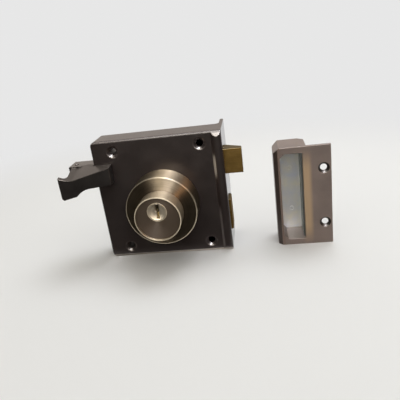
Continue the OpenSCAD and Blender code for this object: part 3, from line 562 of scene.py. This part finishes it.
def rear_ends(boxes):
    return [Vector(((low.x + high.x) / 2, high.y, (low.z + high.z) / 2)) for low, high in boxes]


def block(low, high):
    mesh = bpy.data.meshes.new("cutter")
    work = bmesh.new()
    bmesh.ops.create_cube(work, size=1.0)
    bmesh.ops.scale(work, verts=work.verts, vec=high - low)
    bmesh.ops.translate(work, verts=work.verts, vec=(low + high) / 2)
    work.to_mesh(mesh)
    work.free()
    return new_piece("cutter", mesh)


def cut_away(piece, cutter):
    cut = piece.modifiers.new("cut", "BOOLEAN")
    cut.object = cutter
    cut.solver = "EXACT"
    apply_modifiers(piece)
    bpy.data.objects.remove(cutter)


screw_zinc = zinc(
    "screw_zinc", (0.56, 0.56, 0.55, 1), (0.66, 0.65, 0.60, 1),
    roughness=0.28, run=even(0.4 * MM))
screw_boxes = solid_boxes("back_plate_screws")
low, high = screw_boxes[0]
head_r = (high.x - low.x) / 2
head_over = 1.1 * MM
shank_r = head_r - head_over
point_h = 0.8 * MM
screw_len = high.y - low.y
screw = turned("screw", [
    (0, 0), (head_r, 0), (shank_r, head_r - shank_r), (shank_r, screw_len - point_h),
    (shank_r - point_h, screw_len), (0, screw_len),
], (0, 0, 0), FACING_ROOM, edge=0.1 * MM, finish=screw_zinc, steps=40)
slot_reach = 1.2
slot_deep = 0.7 * MM
slot_half_w = 0.35 * MM
slot_half = Vector((head_r * slot_reach, slot_deep, slot_half_w))
cut_away(screw, block(-slot_half, slot_half))
join_flat_faces(screw)
smooth_normals(screw)
screws = set_in_places("back_plate_screw_set", screw, rear_ends(screw_boxes), screw_zinc)
fit(screws, "lock_body", "back_plate_screws")


# The collar: a heavy ring turned from brass bar, bronzed and left with its fine tool marks, which
# draw out the light into rays. Its rim is rubbed bare and painted light as a highlight line that
# fades towards the top, and it covers the root of the cylinder.
def from_axis(tree, place, axis):
    off = add_node(tree, "ShaderNodeVectorMath", {0: place, 1: axis}, operation="SUBTRACT").outputs[0]
    flat = add_node(tree, "ShaderNodeVectorMath", {0: off, 1: (1, 0, 1)}, operation="MULTIPLY").outputs[0]
    return add_node(tree, "ShaderNodeVectorMath", {0: flat}, operation="LENGTH").outputs["Value"]


def turned_metal(
        name, dark, light, axis, roughness, anisotropy, ring_size, metallic=0.85, specular=0.5,
        face_r=None, rim=None, bore=None):
    face_bronze = (0.082, 0.060, 0.043, 1)
    bare_and_highlight_brass = (0.62, 0.54, 0.41, 1)
    cloud_size = 7 * MM
    border = 0.1 * MM
    rim_fade = 12 * MM
    line_share = 0.6
    rough_spread = 0.05
    dull_metallic = 0.12
    dull_rougher = 0.28
    finish, tree, shader, place = new_finish(name)
    spot = add_node(tree, "ShaderNodeSeparateXYZ", {0: place}).outputs
    radius = from_axis(tree, place, axis)
    across = add_node(tree, "ShaderNodeCombineXYZ", {"X": radius, "Y": spot["Y"]}).outputs[0]
    lines = maths(tree, "MULTIPLY", grain(tree, across, even(ring_size), 3.0), line_share)
    cloud = maths(tree, "MULTIPLY", grain(tree, place, even(cloud_size), 3.0), 1 - line_share)
    tone = maths(tree, "ADD", lines, cloud)
    along = add_node(tree, "ShaderNodeTangent", direction_type="RADIAL", axis="Y").outputs[0]
    colour = blend_colour(tree, ramp(tree, tone, 0.35, 0.65), dark, light)
    bare = []
    dull = 0.0
    if face_r:
        dull = ramp(tree, radius, face_r, face_r - border)
        colour = blend_colour(tree, dull, colour, face_bronze)
    # The rim is bare brass and partly a painted highlight line, lighter than the bronze, fading by the top
    # share towards the top.
    if rim:
        rim_r, rim_y, top_highlight_share = rim
        outside = ramp(tree, radius, rim_r - border, rim_r)
        front = ramp(tree, spot["Y"], rim_y + border, rim_y)
        rubbed = ramp(tree, spot["Z"], axis.z - rim_fade, axis.z + rim_fade, 1.0, top_highlight_share)
        bare.append(maths(tree, "MULTIPLY", maths(tree, "MULTIPLY", outside, front), rubbed))
    if bore:
        bore_axis, bore_r = bore
        bare.append(ramp(tree, from_axis(tree, place, bore_axis), bore_r, bore_r - border))
    for share in bare:
        colour = blend_colour(tree, share, colour, bare_and_highlight_brass)
        dull = maths(tree, "MAXIMUM", dull, share)
    rough = ramp(tree, tone, 0.3, 0.7, roughness - rough_spread, roughness + rough_spread)
    if face_r or rim:
        metallic = ramp(tree, dull, 0.0, 1.0, metallic, dull_metallic)
        rough = maths(tree, "ADD", rough, maths(tree, "MULTIPLY", dull, dull_rougher))
    set_inputs(tree, shader, {
        "Base Color": colour,
        "Metallic": metallic,
        "Roughness": rough,
        "Specular IOR Level": specular,
        "Anisotropic": anisotropy,
        "Anisotropic Rotation": 0.25,
        "Tangent": along,
    })
    return finish


low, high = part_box("cylinder_collar")
nose_low, nose_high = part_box("cylinder_body")
axis_at = (low + high) / 2
collar_r = (high.x - low.x) / 2
nose_r = (nose_high.x - nose_low.x) / 2
collar_h = high.y - low.y
rim_drop = 1.3 * MM
rim_bevel = 0.5 * MM
ring_gap = 0.05 * MM
bore_r = 14.55 * MM
shoulder_h = 16.6 * MM
rim_y = low.y + rim_drop
rim_inset = 0.15 * MM
rim_top_highlight_share = 0.4
collar_bronze = turned_metal(
    "collar_bronze", (0.090, 0.072, 0.049, 1), (0.145, 0.115, 0.078, 1), axis_at,
    roughness=0.42, anisotropy=0.97, ring_size=0.25 * MM,
    rim=(collar_r - rim_bevel - rim_inset, rim_y + rim_bevel, rim_top_highlight_share))
collar = turned("collar_turned", [
    (bore_r, 0), (collar_r, 0), (collar_r, collar_h - rim_drop - rim_bevel),
    (collar_r - rim_bevel, collar_h - rim_drop), (nose_r + ring_gap, collar_h),
    (nose_r + ring_gap, shoulder_h), (bore_r, shoulder_h),
], (axis_at.x, high.y, axis_at.z), FACING_ROOM, edge=0.2 * MM, finish=collar_bronze, steps=160, ring=True)
fit(collar, "lock_body", "cylinder_collar")

# The cylinder body: turned and drilled from brass bar. Its nose has a bare rim, painted light as a
# highlight line, a dull recessed face and a countersunk bore for the plug, with five pin chambers
# below. The ring nut clamps its neck from inside.
nose_rim = 0.75 * MM
nose_recess = 1.7 * MM
nose_edge = 0.4 * MM
nose_len = nose_high.y - nose_low.y
neck_r = bore_r - ring_gap
neck_len = nose_high.y - high.y + shoulder_h
plug_low, plug_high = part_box("cylinder_plug")
plug_axis = (plug_low + plug_high) / 2
plug_r = (plug_high.x - plug_low.x) / 2
plug_bore_r = plug_r + ring_gap
bore_edge = 0.35 * MM
nose_bronze = turned_metal(
    "nose_bronze", (0.155, 0.126, 0.088, 1), (0.225, 0.184, 0.13, 1), axis_at,
    roughness=0.50, anisotropy=0.86, ring_size=0.2 * MM, metallic=0.55, specular=0.12,
    face_r=nose_r - nose_rim, rim=(nose_r - nose_rim + rim_inset, nose_low.y + nose_edge, 1.0),
    bore=(plug_axis, plug_bore_r + bore_edge))
nose = turned("cylinder_body_turned", [
    (0, 0), (neck_r, 0), (neck_r, neck_len), (nose_r, neck_len), (nose_r, nose_len - nose_edge),
    (nose_r - nose_edge, nose_len), (nose_r - nose_rim, nose_len),
    (nose_r - nose_rim, nose_len - nose_recess), (0, nose_len - nose_recess),
], (axis_at.x, nose_high.y, axis_at.z), FACING_ROOM, edge=0.12 * MM, finish=nose_bronze, steps=160)
past = 1 * MM
face_h = past + nose_len - nose_recess
hole = [
    (0, 0), (plug_bore_r, 0), (plug_bore_r, face_h - bore_edge),
    (plug_bore_r + bore_edge + past, face_h + past), (0, face_h + past),
]
drill_at = (plug_axis.x, nose_high.y + past, plug_axis.z)
cut_away(nose, turned("drill", hole, drill_at, FACING_ROOM, edge=0, finish=nose_bronze))
for low, high in solid_boxes("pin_plugs"):
    chamber_r = (high.x - low.x) / 2 + ring_gap
    foot = Vector(((low.x + high.x) / 2, (low.y + high.y) / 2, axis_at.z - nose_r - past))
    hole_len = plug_axis.z - foot.z
    hole = [(0, 0), (chamber_r, 0), (chamber_r, hole_len), (0, hole_len)]
    cut_away(nose, turned("drill", hole, foot, STANDING, edge=0, finish=nose_bronze, steps=32))
join_flat_faces(nose)
smooth_normals(nose)
fit(nose, "lock_body", "cylinder_body")
nut_brass = turned_metal(
    "nut_brass", (0.40, 0.31, 0.15, 1), (0.52, 0.42, 0.22, 1), axis_at,
    roughness=0.35, anisotropy=0.6, ring_size=0.3 * MM)
nut = rounded_copy("ring_nut", "cylinder_nut", 0.2 * MM, nut_brass)
fit(nut, "lock_body", "cylinder_nut")


# Driver pins, their springs and the chamber plugs: small pins turned from brass and coils wound from
# steel wire. They fill the five chambers below the plug.
def brass(name, dark, light, roughness, run, scratch, painted_lit_top=None):
    rubbed_edge = (0.14, 0.105, 0.045, 1)
    cloud_size = 6 * MM
    wear_size = 4 * MM
    rough_spread = 0.06
    finish, tree, shader, place = new_finish(name)
    drawn = grain(tree, place, run, 3.0)
    cloud = grain(tree, place, even(cloud_size), 3.0)
    tone = maths(tree, "MULTIPLY", maths(tree, "ADD", drawn, cloud), 0.5)
    body = blend_colour(tree, ramp(tree, tone, 0.35, 0.65), dark, light)
    body = blend_colour(tree, edge_wear(tree, place, wear_size, 0.3, 0.7), body, rubbed_edge)
    # If given, upward faces take this lighter colour, a painted highlight where light falls on the top.
    if painted_lit_top:
        body = blend_colour(tree, facing_up(tree), body, painted_lit_top)
    set_inputs(tree, shader, {
        "Base Color": body,
        "Metallic": 0.75,
        "Specular Tint": (0.62, 0.52, 0.38, 1.0),
        "Roughness": ramp(tree, tone, 0.3, 0.7, roughness - rough_spread, roughness + rough_spread),
        "Normal": bump(tree, drawn, scratch),
    })
    return finish


pin_brass = brass(
    "pin_brass", (0.50, 0.38, 0.16, 1), (0.62, 0.49, 0.23, 1),
    roughness=0.28, run=even(0.3 * MM), scratch=0.004 * MM)


def pin_set(name, node, edge):
    boxes = solid_boxes(node)
    low, high = boxes[0]
    radius = (high.x - low.x) / 2
    length = high.z - low.z
    profile = [(0, 0), (radius, 0), (radius, length), (0, length)]
    pin = turned("pin", profile, (0, 0, 0), STANDING, edge=edge, finish=pin_brass, steps=32)
    feet = [Vector(((low.x + high.x) / 2, (low.y + high.y) / 2, low.z)) for low, high in boxes]
    lengths = [(1, 1, (high.z - low.z) / length) for low, high in boxes]
    return set_in_places(name, pin, feet, pin_brass, lengths)


drivers = pin_set("driver_pin_set", "driver_pins", 0.3 * MM)
fit(drivers, "lock_body", "driver_pins")
stoppers = pin_set("chamber_plug_set", "pin_plugs", 0.15 * MM)
fit(stoppers, "lock_body", "pin_plugs")

steps_a_turn = 20
steps_round_wire = 10
coil_tree, given = new_tree("coil", {
    "Coil radius": "Float", "Wire radius": "Float", "Length": "Float", "Turns": "Float", "End pitch": "Float",
    "Turn": "Vector", "Centre": "Vector", "Finish": "Material",
})
helix = add_node(coil_tree, "GeometryNodeCurveSpiral", {
    "Resolution": steps_a_turn, "Rotations": given["Turns"], "Start Radius": given["Coil radius"],
    "End Radius": given["Coil radius"], "Height": given["Length"],
})
along = add_node(coil_tree, "GeometryNodeSplineParameter").outputs["Factor"]
turn_no = maths(coil_tree, "MULTIPLY", along, given["Turns"])
last = maths(coil_tree, "SUBTRACT", given["Turns"], 1.0)
ends = maths(coil_tree, "MULTIPLY", given["End pitch"], 2.0)
wire_d = maths(coil_tree, "MULTIPLY", given["Wire radius"], 2.0)
open_run = maths(coil_tree, "SUBTRACT", maths(coil_tree, "SUBTRACT", given["Length"], wire_d), ends)
first_end = ramp(coil_tree, turn_no, 0.0, 1.0, 0.0, given["End pitch"])
middle = ramp(coil_tree, turn_no, 1.0, last, 0.0, open_run)
last_end = ramp(coil_tree, turn_no, last, given["Turns"], 0.0, given["End pitch"])
rise = maths(coil_tree, "ADD", maths(coil_tree, "ADD", first_end, middle), last_end)
height = maths(coil_tree, "ADD", rise, given["Wire radius"])
here = add_node(coil_tree, "GeometryNodeInputPosition").outputs[0]
spot = add_node(coil_tree, "ShaderNodeSeparateXYZ", {0: here}).outputs
lifted = add_node(coil_tree, "ShaderNodeCombineXYZ", {"X": spot["X"], "Y": spot["Y"], "Z": height})
line = add_node(coil_tree, "GeometryNodeSetPosition", {
    "Geometry": helix.outputs[0], "Position": lifted.outputs[0],
})
wire = add_node(coil_tree, "GeometryNodeCurvePrimitiveCircle", {
    "Resolution": steps_round_wire, "Radius": given["Wire radius"],
})
wound = add_node(coil_tree, "GeometryNodeCurveToMesh", {
    "Curve": line.outputs[0], "Profile Curve": wire.outputs["Curve"], "Fill Caps": True,
})
placed = add_node(coil_tree, "GeometryNodeTransform", {
    "Geometry": wound.outputs[0], "Rotation": given["Turn"], "Translation": given["Centre"],
})
end_tree(coil_tree, placed.outputs[0], given["Finish"])


def coil(name, coil_r, wire_r, length, turns, centre, turn, finish):
    end_pitch = 2.1 * wire_r
    piece = new_piece(name, bpy.data.meshes.new(name))
    run_tree(piece, coil_tree, {
        "Coil radius": coil_r, "Wire radius": wire_r, "Length": length, "Turns": float(turns),
        "End pitch": end_pitch, "Turn": turn, "Centre": tuple(centre), "Finish": finish,
    })
    point_outwards(piece)
    piece.data.shade_smooth()
    return piece


spring_wire = zinc(
    "spring_wire", (0.40, 0.40, 0.41, 1), (0.52, 0.52, 0.53, 1),
    roughness=0.30, run=even(0.5 * MM))
spring_boxes = solid_boxes("pin_springs")
low, high = spring_boxes[0]
pin_wire_r = 0.2 * MM
pin_coil_r = (high.y - low.y) / 2 - pin_wire_r
pin_turns = 5
UPRIGHT = (0.0, 0.0, 0.0)
pin_spring = coil(
    "pin_spring", pin_coil_r, pin_wire_r, high.z - low.z, pin_turns, (0, 0, 0), UPRIGHT, spring_wire)
feet = [Vector((axis_at.x, (low.y + high.y) / 2, low.z)) for low, high in spring_boxes]
pin_springs = set_in_places("pin_spring_set", pin_spring, feet, spring_wire)
fit(pin_springs, "lock_body", "pin_springs")

# The plug: turned from nickel brass, with a dished front and a keyway whose upper mouth is bevelled.
# The key pins ride in it, and a spring clip behind keeps it in the cylinder.
plug_nickel = turned_metal(
    "plug_nickel", (0.37, 0.32, 0.245, 1), (0.50, 0.44, 0.34, 1), plug_axis,
    roughness=0.38, anisotropy=0.0, ring_size=0.5 * MM, metallic=0.68)
plug_len = plug_high.y - plug_low.y
stub_step = 1.4 * MM
stub_r = plug_r - stub_step
stub_len = 1.5 * MM
dish_rim = 0.5 * MM
dish_r = plug_r - dish_rim
dish_deep = 1.3 * MM
dish_steps = 10
dish = []
for k in range(dish_steps + 1):
    dish.append((dish_r * k / dish_steps, plug_len - dish_deep * (1 - (k / dish_steps) ** 2)))
plug = turned("plug_turned", dish + [
    (plug_r, plug_len), (plug_r, stub_len), (stub_r, stub_len), (stub_r, 0), (0, 0),
], (plug_axis.x, plug_high.y, plug_axis.z), FACING_ROOM, edge=0.08 * MM, finish=plug_nickel)
key_half_w = 1.1 * MM
key_ward = 0.5 * MM
key_wall = 1.6 * MM
key_top = plug_r - key_wall
key_len = 24 * MM
wide_low = 0.8 * MM
narrow_top = 1.8 * MM
front_y = plug_low.y - past
wide_slot = (-key_half_w, wide_low, key_top)
narrow_slot = (key_ward - key_half_w, -key_top, narrow_top)
for left, foot, head in (wide_slot, narrow_slot):
    near = Vector((plug_axis.x + left, front_y, plug_axis.z + foot))
    far = Vector((plug_axis.x + key_half_w, plug_low.y + key_len, plug_axis.z + head))
    cut_away(plug, block(near, far))
mouth_half_w = 2.9 * MM
mouth_low = 0.2 * MM
mouth_top = 5.2 * MM
mouth_deep = 2.2 * MM
mouth = block(
    plug_axis + Vector((-mouth_half_w, front_y - plug_axis.y, mouth_low)),
    plug_axis + Vector((mouth_half_w, plug_low.y + mouth_deep - plug_axis.y, mouth_top)))
for vert in mouth.data.vertices:
    if vert.co.y > plug_low.y:
        vert.co.x = plug_axis.x + (vert.co.x - plug_axis.x) * key_half_w / mouth_half_w
cut_away(plug, mouth)
smooth_normals(plug)
fit(plug, "plug_body", "cylinder_plug")
key_pins = pin_set("key_pin_set", "key_pins", 0.4 * MM)
fit(key_pins, "plug_body", "key_pins")
clip = rounded_copy("plug_spring_clip", "plug_clip", 0.12 * MM, spring_wire)
fit(clip, "plug_body", "plug_clip")

# The tail, the pinion and its bush: a flat steel tail turns a cut steel pinion, whose rear hub runs
# in a brass bush pressed into the back plate.
gear_steel = zinc(
    "gear_steel", (0.42, 0.43, 0.44, 1), (0.54, 0.54, 0.53, 1),
    roughness=0.33, run=even(0.5 * MM))
tail = rounded_copy("tail_bar", "drive_tail", 0.1 * MM, gear_steel)
fit(tail, "plug_body", "drive_tail")
pinion = rounded_copy("pinion_cut", "drive_pinion", 0.08 * MM, gear_steel)
fit(pinion, "plug_body", "drive_pinion")
bush_brass = turned_metal(
    "bush_brass", (0.46, 0.35, 0.17, 1), (0.58, 0.46, 0.24, 1), plug_axis,
    roughness=0.3, anisotropy=0.5, ring_size=0.2 * MM)
bush = rounded_copy("bush_turned", "pinion_bush", 0.12 * MM, bush_brass)
fit(bush, "lock_body", "pinion_bush")

# The deadbolt: a bar of drawn brass, slotted at its rear for a steel rack plate that is held by two
# rivets. The rack plate runs on a post, and a leaf wound round another post brakes it.
# The upward faces of the deadbolt and the latch are painted lighter, a painted highlight where light falls on
# their tops.
bolt_brass = brass(
    "bolt_brass", (0.084, 0.052, 0.0125, 1), (0.124, 0.079, 0.0225, 1),
    roughness=0.50, run=(9 * MM, 0.16 * MM, 0.16 * MM), scratch=0.008 * MM,
    painted_lit_top=(0.105, 0.087, 0.054, 1))
deadbolt = rounded_copy("deadbolt_bar", "deadbolt", 0.25 * MM, bolt_brass)
fit(deadbolt, "deadbolt_body", "deadbolt")
bar_zinc = zinc(
    "bar_zinc", (0.48, 0.49, 0.50, 1), (0.58, 0.58, 0.56, 1),
    roughness=0.36, run=(10 * MM, 0.15 * MM, 0.15 * MM))
rack = rounded_copy("rack_bar", "rack_plate", 0.08 * MM, bar_zinc)
fit(rack, "deadbolt_body", "rack_plate")


def rivet_set(name, node, crown):
    boxes = solid_boxes(node)
    low, high = boxes[0]
    radius = (high.x - low.x) / 2
    length = high.y - low.y
    profile = [
        (0, 0), (radius - crown, 0), (radius, crown), (radius, length - crown), (radius - crown, length),
        (0, length),
    ]
    rivet = turned("rivet", profile, (0, 0, 0), FACING_ROOM, edge=0.1 * MM, finish=gear_steel, steps=32)
    return set_in_places(name, rivet, rear_ends(boxes), gear_steel)


deadbolt_rivets = rivet_set("deadbolt_rivet_set", "deadbolt_rivets", 0.2 * MM)
fit(deadbolt_rivets, "deadbolt_body", "deadbolt_rivets")
rack_post = rounded_copy("rack_guide_post", "rack_post", 0.15 * MM, gear_steel)
fit(rack_post, "lock_body", "rack_post")
leaf = rounded_copy("brake_leaf", "leaf_spring", 0.08 * MM, spring_wire)
fit(leaf, "lock_body", "leaf_spring")
leaf_post = rounded_copy("leaf_pin", "leaf_post", 0.12 * MM, gear_steel)
fit(leaf_post, "lock_body", "leaf_post")

# The latch: a block of drawn brass with its slope on the door side. Two rivets join it to the steel
# draw bar, and a coil on a rod, which slides through a bracket, throws it.
latch = rounded_copy("latch_bevelled", "latch_bolt", 0.25 * MM, bolt_brass)
fit(latch, "latch_slide_body", "latch_bolt")
draw_bar = rounded_copy("latch_draw_bar", "draw_bar", 0.2 * MM, bar_zinc)
fit(draw_bar, "latch_slide_body", "draw_bar")
latch_rivets = rivet_set("latch_rivet_set", "latch_rivets", 0.2 * MM)
fit(latch_rivets, "latch_slide_body", "latch_rivets")
rod = rounded_copy("latch_spring_rod", "spring_rod", 0.2 * MM, gear_steel)
fit(rod, "latch_slide_body", "spring_rod")
bracket = rounded_copy("spring_stop", "spring_bracket", 0.2 * MM, gear_steel)
fit(bracket, "lock_body", "spring_bracket")
low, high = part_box("latch_spring")
latch_wire_r = 0.4 * MM
latch_coil_r = (high.z - low.z) / 2 - latch_wire_r
spring_len = high.x - low.x
latch_turns = 11
spring_end = Vector((low.x, (low.y + high.y) / 2, (low.z + high.z) / 2))
LYING = (0.0, math.pi / 2, 0.0)
latch_spring = coil(
    "latch_coil", latch_coil_r, latch_wire_r, spring_len, latch_turns, spring_end, LYING, spring_wire)
fit(latch_spring, "lock_body", "latch_spring")
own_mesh(latch_spring)

# The handle: a zinc casting with a finger flange, a tongue over the front of the case and a stem
# that slides in its side. Its lacquer is darker than the case's and painted lighter on its upward
# faces, a painted highlight, and a grub screw clamps the draw bar in the stem.
handle_brown = lacquer(
    "handle_brown", (0.0046, 0.0034, 0.0034, 1), (0.0066, 0.0049, 0.0047, 1), (0.030, 0.023, 0.020, 1),
    roughness=0.33, specular=0.8, gloss=0.0, painted_lit_top=(0.055, 0.045, 0.039, 1))
handle = rounded_copy("handle_casting", "pull_handle", 0.3 * MM, handle_brown, steps=3, most_met=3)
fit(handle, "latch_slide_body", "pull_handle")
# The grub screw is painted near black, as painted shade for the hole it sits in.
grub_steel = zinc(
    "grub_steel", (0.022, 0.021, 0.020, 1), (0.034, 0.032, 0.030, 1),
    roughness=0.6, run=even(0.4 * MM), metallic=0.2)
grub = rounded_copy("handle_grub_screw", "handle_set_screw", 0.1 * MM, grub_steel)
fit(grub, "latch_slide_body", "handle_set_screw")

# The keep: a cast box with a window for the bolts and a flange for the frame. Its bronze lacquer is
# painted light all over, as if lit from above, with painted highlights beside the window and beside
# the chamfer, and painted shade on the chamfer and in the countersinks. Two rivets hold a liner
# of zinc plated sheet, which covers the floor and has painted shade on the far wall.
# Painted light on the keep: a highlight band beside the window, a highlight strip beside the chamfer and
# shade on the chamfer.
window_painted_highlight = ((101.5, -21, -30), (104, -19, 10), (3.5, 0.5, 18), (0.43, 0.297, 0.181, 1))
bevel_strip_painted_highlight = ((83.9, -21, -60), (85.4, -19, 60), (0.6, 0.5, 1), (0.19, 0.136, 0.114, 1))
bevel_painted_shade = ((80, -21, -60), (83.6, -16.9, 60), (0.3, 0.2, 1), (0.05, 0.036, 0.031, 1))
keep_screws = next(mount for mount in frame["record"]["mounts"] if mount["name"] == "keep_screws")
sink_half = 4.2
sink_mouth = -19.85
sink_end = -17.85
# The countersinks get painted shade, near black.
sink_painted_shade = (0.012, 0.009, 0.008, 1)
sink_x = keep_screws["pos_m"][0] / MM
sink_shades = []
for side in (-0.5, 0.5):
    sink_z = keep_screws["pos_m"][2] / MM + side * keep_screws["dims"]["spacing_y_mm"]
    sink_low = (sink_x - sink_half, sink_mouth, sink_z - sink_half)
    sink_high = (sink_x + sink_half, sink_end, sink_z + sink_half)
    sink_shades.append((sink_low, sink_high, (0.1, 0.1, 0.1), sink_painted_shade))
# This is a lit copy of the case's dark lacquer, painted lighter as if light fell on the keep's face.
keep_bronze = lacquer(
    "keep_bronze", (0.175, 0.135, 0.12, 1), (0.222, 0.171, 0.15, 1), (0.26, 0.202, 0.164, 1),
    roughness=0.38, specular=0.4, gloss=0.0, tints=[window_painted_highlight, bevel_strip_painted_highlight, bevel_painted_shade] + sink_shades)
keep = rounded_copy("keep_casting", "keep_box", 0.3 * MM, keep_bronze)
fit(keep, "lock_body", "keep_box")
# The liner's far wall is painted darker, painted shade where it faces away from the light.
far_wall_painted_shade = ((99.3, -21, -60), (102, -1.2, 60), (0.3, 1, 1), (0.17, 0.19, 0.185, 1))
liner_zinc = zinc(
    "liner_zinc", (0.84, 0.89, 0.96, 1), (0.98, 0.97, 0.86, 1),
    roughness=0.36, run=(0.3 * MM, 0.3 * MM, 18 * MM), metallic=0.4, tints=[far_wall_painted_shade])
liner = rounded_copy("keep_zinc_liner", "keep_liner", 0.12 * MM, liner_zinc)
fit(liner, "lock_body", "keep_liner")
# The rivets end flush with the liner, without the low heads of the solids.
keep_rivet_boxes = solid_boxes("keep_rivets")
low, high = keep_rivet_boxes[0]
solid_head_over = 1 * MM
solid_head_h = 0.6 * MM
keep_rivet_r = (high.x - low.x) / 2 - solid_head_over
keep_rivet_len = high.y - low.y - solid_head_h
keep_rivet = turned("keep_rivet", [
    (0, 0), (keep_rivet_r, 0), (keep_rivet_r, keep_rivet_len), (0, keep_rivet_len),
], (0, 0, 0), FACING_ROOM, edge=0.15 * MM, finish=liner_zinc, steps=40)
keep_rivets = set_in_places("keep_rivet_set", keep_rivet, rear_ends(keep_rivet_boxes), liner_zinc)
fit(keep_rivets, "lock_body", "keep_rivets")
